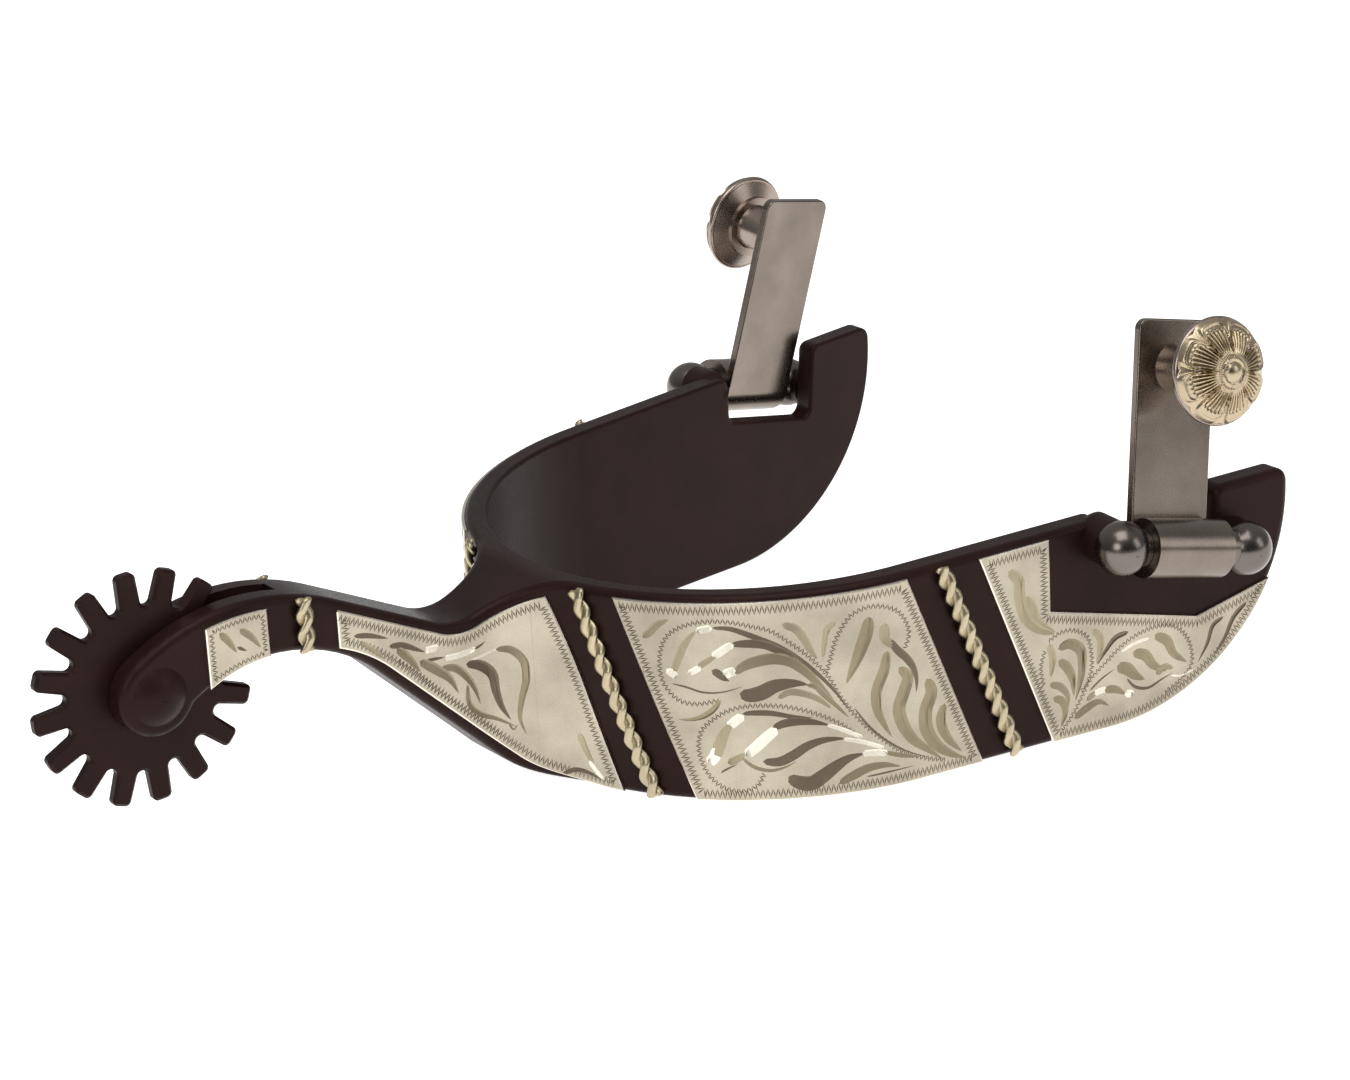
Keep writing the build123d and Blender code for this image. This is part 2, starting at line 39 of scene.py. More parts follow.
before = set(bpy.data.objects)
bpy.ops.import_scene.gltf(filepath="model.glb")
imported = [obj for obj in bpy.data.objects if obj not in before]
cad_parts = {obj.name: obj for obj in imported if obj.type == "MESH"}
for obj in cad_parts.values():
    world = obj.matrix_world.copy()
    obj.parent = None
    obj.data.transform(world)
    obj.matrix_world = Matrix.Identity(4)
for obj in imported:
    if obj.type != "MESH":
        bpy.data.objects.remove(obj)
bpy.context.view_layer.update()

MM = 0.001
BODIES = {"right": "button_right", "left": "button_left"}

# The forging's outer face in plan, in millimetres from the rowel's axle. A place on it is a
# station, the length along the face from the middle of the heel, and a height from the ground.
ORIGIN_X = 68.0
SHANK_HALF_WIDTH = 4.6
ARC_CENTRE = 97.2
ARC_RADIUS = 41.1
FLARE_RADIUS = 12.0
SIDE_FLARE = radians(7.1)
FLARE_Y = SHANK_HALF_WIDTH + FLARE_RADIUS
FLARE_X = ARC_CENTRE - sqrt((ARC_RADIUS + FLARE_RADIUS) ** 2 - FLARE_Y**2)
FLARE_TURN = atan2(FLARE_Y, ARC_CENTRE - FLARE_X)
FLARE_END = ARC_RADIUS * FLARE_TURN
FLARE_START = FLARE_END - FLARE_RADIUS * (pi / 2 - FLARE_TURN)
ARC_LENGTH = ARC_RADIUS * (pi / 2 - SIDE_FLARE)
ARC_END_X = ARC_CENTRE - ARC_RADIUS * sin(SIDE_FLARE)
ARC_END_Y = ARC_RADIUS * cos(SIDE_FLARE)
STRIP_SLANT = radians(21.0)

# Directions of the hinge pin and of the buttons on the right side
HINGE_PITCH = radians(12.2)
OUTBOARD = Vector((-sin(SIDE_FLARE), -cos(SIDE_FLARE), 0))
PIN_AXIS = Vector((
    cos(HINGE_PITCH) * cos(SIDE_FLARE), -cos(HINGE_PITCH) * sin(SIDE_FLARE), -sin(HINGE_PITCH)
))
STRAP_LEAN = {"right": radians(11.8), "left": radians(7.9)}
REAR_BALL = Vector((120.55 - ORIGIN_X, -48.626, 27.392))
BALL_SPACING = 20.505
BALL_REACH = 3.85  # from a ball's centre to where its browned arm begins

# Finishes of a plate's faces, in the order of its materials, and how rough the cuts' ones are. Past the plain
# sheet, light, mid and dark are steps of painted shade in the cuts, partly a brown tone, and bright is a
# painted highlight.
FINISHES_AND_PAINTED_LIGHT = ("plain", "light", "mid", "dark", "bright")
CUT_ROUGHNESS = (0.42, 0.44, 0.5, 0.3)

# Patterns of the materials, per millimetre: cloudy patches about 8 mm across, and forged grain
PATCH_SCALE = 0.12
FORGED_GRAIN_SCALE = 2.5

# How the plates are meshed and cut, in millimetres
MESH_STEP_BENT = 0.7
MESH_STEP_FLAT = 1.6
MESH_INSET = 0.05
SHORTEST_RUN = 0.3
SAME_PLACE = 1e-4
LEAST_CUT = 0.004
LINE_STEP = 0.45
CONTOUR_STEP = 0.3
# Shares: the deepest cut of the sheet, the bevel's drop of its width, and the sharpest mitre
DEEPEST_CUT = 0.8
BEVEL_DROP = 0.7
MITRE_LIMIT = 0.6

# A strand of the twisted wires, in millimetres: how far it swings aside and outward from its
# middle, its half sizes, its rounded ends, and the height above which hammering flattened it
STRAND_SIDES = 14
STRAND_STEP = 0.22
STRAND_ASIDE = 0.56
STRAND_MIDDLE = 0.62
STRAND_SWING = 0.34
STRAND_HALF_WIDTH = 0.74
STRAND_HALF_HEIGHT = 0.5
STRAND_END = 0.5
FLAT_HEIGHT = 1.22
FLAT_RISE = 0.18

# A gilt cap, in millimetres
CAP_RADIUS = 7.15
CAP_RIM_HEIGHT = 0.15
CAP_DOME = 2.95
CAP_FLUTES = 7  # on each petal
CAP_RINGS = 44
CAP_SEGMENTS = 48  # round each petal
BUD_RADIUS = 1.3
PAINTED_SHADE_DEPTH = 0.17  # of a hollow whose faces take the darker gilt, a painted shade

# The stage, in metres, degrees and watts
STAGE_REACH = 3.0
LOOK_AT = (0, 0, 0.02)
LAMPS = (
    ("lamp_overhead", (-0.1, -0.2, 0.8), 0.55, 0.55, 2.4),
    ("lamp_front_left", (-0.75, -0.45, 0.45), 0.4, 0.4, 1.7),
    ("lamp_front_right", (0.55, -0.75, 0.4), 0.35, 0.5, 1.0),
)
CAMERA_PLACE = (-0.27169, -0.41339, 0.20839)
CAMERA_TURN = (69.96, 2.88, -35.74)
CAMERA_LENS = 104.164


def linear(code):
    """Linear colour of an sRGB hex value."""
    shares = [int(code[place:place + 2], 16) / 255 for place in (1, 3, 5)]
    return [s / 12.92 if s <= 0.04045 else ((s + 0.055) / 1.055) ** 2.4 for s in shares] + [1.0]


def colour_property(name, code, description):
    """A colour that a user may change, from its sRGB hex value."""
    return FloatVectorProperty(
        name=name, description=description, subtype="COLOR", size=4, min=0, max=1, default=linear(code)
    )


class SpurSizes(bpy.types.PropertyGroup):
    """Sizes of the spur's worked details, in metres."""

    plate_thickness: FloatProperty(
        name="Plate thickness", description="How far an overlay plate stands off the steel",
        default=0.5 * MM, unit="LENGTH",
    )
    plate_bevel: FloatProperty(
        name="Plate bevel", description="Width of the filed edge of a plate",
        default=0.16 * MM, unit="LENGTH",
    )
    cut_slope: FloatProperty(
        name="Cut slope", description="Depth of an engraved cut as a share of its half width", default=0.3
    )
    wriggle_pitch: FloatProperty(
        name="Wriggle pitch", description="Length of one tooth of the zigzags",
        default=0.66 * MM, unit="LENGTH",
    )
    wriggle_width: FloatProperty(
        name="Wriggle width", description="Width of the zigzag border",
        default=1.4 * MM, unit="LENGTH",
    )
    contour_width: FloatProperty(
        name="Contour width", description="Width of the zigzags round the scrolls",
        default=0.85 * MM, unit="LENGTH",
    )
    wriggle_inset: FloatProperty(
        name="Wriggle inset", description="Plain edge outside the zigzag border",
        default=0.32 * MM, unit="LENGTH",
    )
    wire_twist: FloatProperty(
        name="Wire twist", description="Length of one full turn of the twisted wire",
        default=5.3 * MM, unit="LENGTH",
    )
    petals: IntProperty(name="Petals", description="Petals round a button's cap", default=8, min=3)


class SpurColours(bpy.types.PropertyGroup):
    """Colours of the spur's finishes, and of the painted shade and painted highlights of the plates and caps.
    """

    browned_steel: colour_property("Browned steel", "#281A19", "Rust-browned and waxed steel")
    plate: colour_property("Plate", "#A9A08F", "Nickel silver of the overlay plates")
    # Light, middle and dark cut: steps of painted shade in the cuts, partly a brown tone; the dark one is
    # also the zigzags' painted shade.
    light: colour_property("Light cut", "#A2977F", "Cuts that are hardly toned")
    mid: colour_property("Middle cut", "#91866F", "Toned cuts")
    dark: colour_property("Dark cut", "#756A5A", "Deeply toned cuts and zigzags")
    # Bright cut: a painted highlight on the heads of the cuts and on the plates' edges.
    bright: colour_property("Bright cut", "#EAE3D3", "Burnished heads of the cuts")
    wire: colour_property("Wire", "#B9AC90", "Bronze of the twisted wires")
    strap: colour_property("Strap", "#80766D", "Brushed steel of the button straps")
    polished: colour_property("Polished steel", "#716A65", "Polished steel of the hinges")
    turned: colour_property("Turned steel", "#A2948A", "Bright turned steel of the studs")
    gilt: colour_property("Gilt", "#BCAB90", "Gilt brass of the button caps")
    # Painted shade: the darker gilt of the faces deep in the caps' hollows.
    gilt_painted_shade: colour_property("Toned gilt", "#83704F", "Gilt brass in the hollows of the caps")


def add_node(tree, kind, settings=None, inputs=None):
    """Adds a node, sets it, and fills its inputs with values or with other nodes' outputs."""
    node = tree.nodes.new(kind)
    for name, value in (settings or {}).items():
        setattr(node, name, value)
    for name, value in (inputs or {}).items():
        if isinstance(value, bpy.types.NodeSocket):
            tree.links.new(value, node.inputs[name])
        else:
            node.inputs[name].default_value = value
    return node


def new_material(name):
    """An empty node material and its millimetre coordinates, which move with the piece."""
    material = bpy.data.materials.new(name)
    material.use_nodes = True
    tree = material.node_tree
    tree.nodes.clear()
    place = add_node(tree, "ShaderNodeTexCoord").outputs["Object"]
    scaled = add_node(tree, "ShaderNodeVectorMath", {"operation": "SCALE"}, {0: place, "Scale": 1 / MM})
    return material, tree, scaled.outputs[0]


def browned_steel():
    # Forged steel, rust-browned and waxed: near-black red-brown with soft cloudy
    # patches, a low satin gloss and a faint forged unevenness.
    if "browned_steel_waxed" in bpy.data.materials:
        return bpy.data.materials["browned_steel_waxed"]
    material, tree, place = new_material("browned_steel_waxed")
    colour = bpy.context.scene.spur_colours.browned_steel
    clouds = add_node(
        tree, "ShaderNodeTexNoise", None, {"Vector": place, "Scale": PATCH_SCALE, "Detail": 5}
    )
    tint = add_node(tree, "ShaderNodeValToRGB", None, {"Fac": clouds.outputs["Fac"]})
    tint.color_ramp.elements[0].position = 0.3
    tint.color_ramp.elements[1].position = 0.75
    tint.color_ramp.elements[0].color = [c * 0.78 for c in colour[:3]] + [1]
    tint.color_ramp.elements[1].color = [c * k for c, k in zip(colour[:3], (1.45, 1.3, 1.25))] + [1]
    grain = add_node(
        tree, "ShaderNodeTexNoise", None, {"Vector": place, "Scale": FORGED_GRAIN_SCALE, "Detail": 4}
    )
    gloss = add_node(
        tree, "ShaderNodeMapRange", None,
        {"Value": grain.outputs["Fac"], "From Min": 0.3, "From Max": 0.7, "To Min": 0.32, "To Max": 0.46},
    )
    bump = add_node(tree, "ShaderNodeBump", None, {
        "Strength": 0.12, "Distance": 0.05 * MM, "Height": grain.outputs["Fac"],
    })
    surface = add_node(tree, "ShaderNodeBsdfPrincipled", None, {
        "Base Color": tint.outputs["Color"], "Roughness": gloss.outputs["Result"],
        "Normal": bump.outputs["Normal"], "Specular IOR Level": 0.14, "Specular Tint": linear("#FFE2D6"),
    })
    add_node(tree, "ShaderNodeOutputMaterial", None, {"Surface": surface.outputs["BSDF"]})
    return material


def worked_metal(name, colour, roughness, grain_mm, stretch, bump_mm, spread=0.12):
    """A bare metal whose working marks run along one way: a fine noise, stretched per axis."""
    material, tree, place = new_material(name)
    scale = [1 / (grain_mm * share) for share in stretch]
    marks_at = add_node(tree, "ShaderNodeVectorMath", {"operation": "MULTIPLY"}, {0: place, 1: scale})
    marks = add_node(
        tree, "ShaderNodeTexNoise", None, {"Vector": marks_at.outputs[0], "Scale": 1.0, "Detail": 3}
    )
    patches = add_node(
        tree, "ShaderNodeTexNoise", None, {"Vector": place, "Scale": PATCH_SCALE, "Detail": 4}
    )
    tint = add_node(tree, "ShaderNodeValToRGB", None, {"Fac": patches.outputs["Fac"]})
    tint.color_ramp.elements[0].position = 0.3
    tint.color_ramp.elements[1].position = 0.7
    tint.color_ramp.elements[0].color = [c * (1 - spread) for c in colour[:3]] + [1]
    tint.color_ramp.elements[1].color = [min(1, c * (1 + spread)) for c in colour[:3]] + [1]
    gloss = add_node(tree, "ShaderNodeMapRange", None, {
        "Value": marks.outputs["Fac"], "From Min": 0.3, "From Max": 0.7,
        "To Min": roughness * 0.85, "To Max": roughness * 1.15,
    })
    bump = add_node(tree, "ShaderNodeBump", None, {
        "Strength": 0.3, "Distance": bump_mm * MM, "Height": marks.outputs["Fac"],
    })
    surface = add_node(tree, "ShaderNodeBsdfPrincipled", None, {
        "Base Color": tint.outputs["Color"], "Metallic": 1.0, "Roughness": gloss.outputs["Result"],
        "Normal": bump.outputs["Normal"],
    })
    add_node(tree, "ShaderNodeOutputMaterial", None, {"Surface": surface.outputs["BSDF"]})
    return material


def skin_point(station, height, out):
    """Point in metres at a place on the right side's outer face, moved off it by a given amount."""
    if station < FLARE_START:
        x, y = FLARE_X + station - FLARE_START, -SHANK_HALF_WIDTH - out
    elif station < FLARE_END:
        turn = (station - FLARE_START) / FLARE_RADIUS
        x = FLARE_X + (FLARE_RADIUS - out) * sin(turn)
        y = (FLARE_RADIUS - out) * cos(turn) - FLARE_Y
    elif station < ARC_LENGTH:
        turn = station / ARC_RADIUS
        x = ARC_CENTRE - (ARC_RADIUS + out) * cos(turn)
        y = -(ARC_RADIUS + out) * sin(turn)
    else:
        rest = station - ARC_LENGTH
        x = ARC_END_X + rest * cos(SIDE_FLARE) - out * sin(SIDE_FLARE)
        y = -ARC_END_Y - rest * sin(SIDE_FLARE) - out * cos(SIDE_FLARE)
    return Vector(((x - ORIGIN_X) * MM, y * MM, height * MM))


def skin_place(point):
    """Station, height and distance off the outer face of a point of the right side."""
    x, y = point.x / MM + ORIGIN_X, point.y / MM
    heel_station = ARC_RADIUS * atan2(-y, ARC_CENTRE - x)
    if x < FLARE_X:
        station, out = FLARE_START + x - FLARE_X, -y - SHANK_HALF_WIDTH
    elif heel_station < FLARE_END:
        turn = atan2(x - FLARE_X, y + FLARE_Y)
        station = FLARE_START + FLARE_RADIUS * turn
        out = FLARE_RADIUS - hypot(x - FLARE_X, y + FLARE_Y)
    elif heel_station < ARC_LENGTH:
        station, out = heel_station, hypot(ARC_CENTRE - x, y) - ARC_RADIUS
    else:
        ahead, aside = x - ARC_END_X, -y - ARC_END_Y
        station = ARC_LENGTH + ahead * cos(SIDE_FLARE) + aside * sin(SIDE_FLARE)
        out = aside * cos(SIDE_FLARE) - ahead * sin(SIDE_FLARE)
    return station, point.z / MM, out


def new_piece(name, vertices, faces, materials, face_materials=None, sharp=None):
    """A mesh object with smooth faces, and sharp edges where they turn more than an angle."""
    mesh = bpy.data.meshes.new(name)
    mesh.from_pydata(vertices, [], faces)
    for material in materials:
        mesh.materials.append(material)
    if face_materials is not None:
        mesh.polygons.foreach_set("material_index", face_materials)
    mesh.shade_smooth()
    if sharp is not None:
        mesh.set_sharp_from_angle(angle=sharp)
    mesh.update()
    piece = bpy.data.objects.new(name, mesh)
    bpy.context.scene.collection.objects.link(piece)
    return piece


def other_side(vertices, faces):
    """The same mesh on the left side of the spur."""
    return [Vector((v[0], -v[1], v[2])) for v in vertices], [face[::-1] for face in faces]


def plate_outline(node):
    """Outline of a plate's outer face as a loop of stations and heights."""
    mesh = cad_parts[node].data
    places = [skin_place(vertex.co) for vertex in mesh.vertices]
    top = bpy.context.scene.spur_sizes.plate_thickness / MM - 0.05
    corner_at = [tuple(round(c / MM, 3) for c in vertex.co) for vertex in mesh.vertices]
    place_of = {}
    rim = set()
    for polygon in mesh.polygons:
        if min(places[i][2] for i in polygon.vertices) < top:
            continue
        corners = [corner_at[i] for i in polygon.vertices]
        place_of.update((corner_at[i], places[i][:2]) for i in polygon.vertices)
        for start, end in zip(corners, corners[1:] + corners[:1]):
            if (end, start) in rim:
                rim.remove((end, start))
            elif start != end:
                rim.add((start, end))
    following = dict(sorted(rim))
    loop = [next(iter(following))]
    while following[loop[-1]] != loop[0]:
        loop.append(following[loop[-1]])
        if len(loop) > len(following):
            raise RuntimeError(f"the outline of {node} doesn't close")
    loop = [place_of[corner] for corner in loop]
    loop = [p for p, q in zip(loop, loop[1:] + loop[:1]) if hypot(p[0] - q[0], p[1] - q[1]) > 0.02]
    area = sum(p[0] * q[1] - q[0] * p[1] for p, q in zip(loop, loop[1:] + loop[:1]))
    return np.array(loop if area > 0 else loop[::-1])


def moved_in(loop, amount):
    """An anticlockwise loop moved inward, corner by corner."""
    along = np.roll(loop, -1, 0) - loop
    along /= np.linalg.norm(along, axis=1)[:, None]
    normals = np.stack([-along[:, 1], along[:, 0]], 1)
    both = normals + np.roll(normals, 1, 0)
    return loop + both * (amount * 2 / np.maximum((both**2).sum(1), MITRE_LIMIT)[:, None])


def smooth_line(points, step):
    """Points at about equal steps along a smooth curve through the given points."""
    points = np.array(points, float)
    if len(points) == 2:
        points = np.array([points[0], (points[0] + points[1]) / 2, points[1]])
    chords = np.linalg.norm(np.diff(points, axis=0), axis=1)
    knots = np.concatenate([[0], np.cumsum(chords)])
    slopes = np.gradient(points, knots, axis=0)
    count = max(3, ceil(knots[-1] / step) + 1)
    samples = np.linspace(0, knots[-1], count)
    index = np.clip(np.searchsorted(knots, samples, side="right") - 1, 0, len(points) - 2)
    span = chords[index]
    t = ((samples - knots[index]) / span)[:, None]
    span = span[:, None]
    return (
        (2 * t**3 - 3 * t**2 + 1) * points[index] + (t**3 - 2 * t**2 + t) * span * slopes[index]
        + (3 * t**2 - 2 * t**3) * points[index + 1] + (t**3 - t**2) * span * slopes[index + 1]
    )


class Cut:
    """One engraved cut: its middle line, half widths, and the line where it is deepest."""

    def __init__(self, line, half_widths, keel, slope, finish):
        self.line = line
        # The finish picks the colour of the cut's faces: a step of painted shade, with the painted highlight
        # for a bright cut.
        self.finish = finish
        self.half_widths = half_widths
        self.keel = keel
        self.slope = slope
        along = np.gradient(line, axis=0)
        along /= np.linalg.norm(along, axis=1)[:, None]
        self.normals = np.stack([-along[:, 1], along[:, 0]], 1)

    def rail(self, share):
        """Points beside the middle line, at a share of the half width."""
        return self.line + self.normals * (self.half_widths * share)[:, None]

    def depths(self, places):
        """How deep the cut is at each place."""
        depth = np.zeros(len(places))
        reach = self.half_widths.max()
        low, high = self.line.min(0) - reach, self.line.max(0) + reach
        near = np.nonzero(((places >= low) & (places <= high)).all(1))[0]
        if not len(near):
            return depth
        starts, runs = self.line[:-1], np.diff(self.line, axis=0)
        lengths = (runs**2).sum(1)
        offset = places[near][:, None] - starts[None]
        share = np.clip((offset * runs[None]).sum(2) / lengths[None], 0, 1)
        gaps = offset - share[..., None] * runs[None]
        closest = (gaps**2).sum(2).argmin(1)
        rows = np.arange(len(near))
        share = share[rows, closest]
        gap = gaps[rows, closest]
        run = runs[closest]
        aside = (run[:, 0] * gap[:, 1] - run[:, 1] * gap[:, 0]) / np.sqrt(lengths[closest])
        half = self.half_widths[closest] * (1 - share) + self.half_widths[closest + 1] * share
        across = aside / np.maximum(half, 1e-6)
        rise = np.where(across > self.keel, (1 - across) / (1 - self.keel), (1 + across) / (1 + self.keel))
        depth[near] = np.clip(rise, 0, 1) * half * self.slope
        return depth


def leaf_cut(finish, width, points, slope):
    """A cut that swells quickly from its start and tapers slowly, or a short even one if bright."""
    line = smooth_line(points, LINE_STEP)
    t = np.linspace(0, 1, len(line))
    if finish == "bright":
        swell = (4 * t * (1 - t)) ** 0.1
    elif finish == "light":
        swell = t**0.25 * (1 - t) ** 0.5 / 0.62
    else:
        swell = t**0.35 * (1 - t) ** 0.8 / 0.494
    return Cut(line, width / 2 * swell, 0.5, slope, FINISHES_AND_PAINTED_LIGHT.index(finish))


def wriggle_cuts(rail, pitch, width, slope, closed):
    """The short slanting cuts of a zigzag along a line."""
    line = np.concatenate([rail, rail[:1]]) if closed else rail
    knots = np.concatenate([[0], np.cumsum(np.linalg.norm(np.diff(line, axis=0), axis=1))])
    count = max(2, int(round(knots[-1] / pitch)) * 2)
    at = np.linspace(0, knots[-1], count + 1)
    middle = np.stack([np.interp(at, knots, line[:, k]) for k in (0, 1)], 1)
    along = np.gradient(middle, axis=0)
    along /= np.maximum(np.linalg.norm(along, axis=1), 1e-9)[:, None]
    normals = np.stack([-along[:, 1], along[:, 0]], 1)
    signs = np.where(np.arange(count + 1) % 2, 1, -1)[:, None]
    zigzag = middle + normals * signs * width / 2
    half_widths = np.array([0.02, 0.14, 0.02]) * pitch
    # The zigzags take the dark cut colour, painted shade in their small cuts.
    finish = FINISHES_AND_PAINTED_LIGHT.index("dark")
    return [
        Cut(start + (end - start) * np.array([[0.04], [0.5], [0.96]]), half_widths, 0.0, slope, finish)
        for start, end in zip(zigzag[:-1], zigzag[1:])
    ]


def level_crossings(loop, station):
    """Heights at which a loop crosses a station."""
    heights = []
    for start, end in zip(loop, np.roll(loop, -1, 0)):
        if (start[0] - station) * (end[0] - station) < 0:
            share = (station - start[0]) / (end[0] - start[0])
            heights.append(start[1] + share * (end[1] - start[1]))
    return sorted(heights)


def inside_loop(place, loop):
    """Whether a place lies inside a closed loop."""
    after = np.roll(loop, -1, 0)
    crossed = (loop[:, 1] > place[1]) != (after[:, 1] > place[1])
    share = (place[1] - loop[crossed, 1]) / (after[crossed, 1] - loop[crossed, 1])
    at = loop[crossed, 0] + share * (after[crossed, 0] - loop[crossed, 0])
    return (at > place[0]).sum() % 2 == 1


def engraved_mesh(node, cuts):
    """Vertices, faces and finishes of one engraved plate, with the cuts' painted shade and the painted
    highlights on bright cuts and edges.
    """
    sizes = bpy.context.scene.spur_sizes
    bevel = sizes.plate_bevel / MM
    thickness = sizes.plate_thickness / MM
    outline = moved_in(plate_outline(node), bevel)
    places = [tuple(p) for p in outline]
    edges = []

    def add_line(points):
        first = len(places)
        places.extend(tuple(p) for p in points)
        edges.extend((first + i, first + i + 1) for i in range(len(points) - 1))

    station = floor(outline[:, 0].min())
    while station < outline[:, 0].max():
        heights = level_crossings(outline, station)
        for low, high in zip(heights[::2], heights[1::2]):
            if high - low > SHORTEST_RUN:
                add_line([(station, low + MESH_INSET), (station, high - MESH_INSET)])
        station += MESH_STEP_BENT if station < FLARE_END else MESH_STEP_FLAT
    for cut in cuts:
        for share in (-1, cut.keel, 1):
            add_line(cut.rail(share))
    found = delaunay_2d_cdt(
        [Vector(p) for p in places], edges, [list(range(len(outline)))], 1, SAME_PLACE, False
    )
    flat = np.array([tuple(p) for p in found[0]])
    triangles = [tuple(face) for face in found[2] if inside_loop(flat[list(face)].mean(0), outline)]
    depths = np.zeros(len(flat))
    middles = flat[np.array(triangles)].mean(1)
    deepest = np.full(len(middles), LEAST_CUT)
    face_finishes_and_painted_light = np.zeros(len(middles), int)
    for cut in cuts:
        depths = np.maximum(depths, cut.depths(flat))
        inside = cut.depths(middles)
        face_finishes_and_painted_light[inside > deepest] = cut.finish
        deepest = np.maximum(deepest, inside)
    depths = np.minimum(depths, thickness * DEEPEST_CUT)
    vertices = [skin_point(p[0], p[1], thickness - d) for p, d in zip(flat, depths)]
    flags = face_finishes_and_painted_light.tolist()
    # The bevel and the side of the plate take the bright cut colour: a painted highlight along the filed
    # edge.
    edge_painted_highlight = FINISHES_AND_PAINTED_LIGHT.index("bright")
    sides = {}
    for face in triangles:
        for start, end in zip(face, face[1:] + face[:1]):
            if (end, start) in sides:
                del sides[end, start]
            else:
                sides[start, end] = True
    rims = {}
    normals = {}
    for start, end in sides:
        run = flat[end] - flat[start]
        normal = np.array([run[1], -run[0]]) / np.linalg.norm(run)
        for corner in (start, end):
            normals[corner] = normals.get(corner, 0) + normal
    for corner, normal in normals.items():
        outer = flat[corner] + normal * (bevel * 2 / max((normal**2).sum(), MITRE_LIMIT))
        rims[corner] = len(vertices)
        vertices.append(skin_point(outer[0], outer[1], thickness - bevel * BEVEL_DROP))
        vertices.append(skin_point(outer[0], outer[1], 0))
    faces = list(triangles)
    for start, end in sides:
        a, b = rims[start], rims[end]
        faces += [(start, a, b, end), (a, a + 1, b + 1, b)]
        flags += [edge_painted_highlight, edge_painted_highlight]
    return vertices, faces, flags
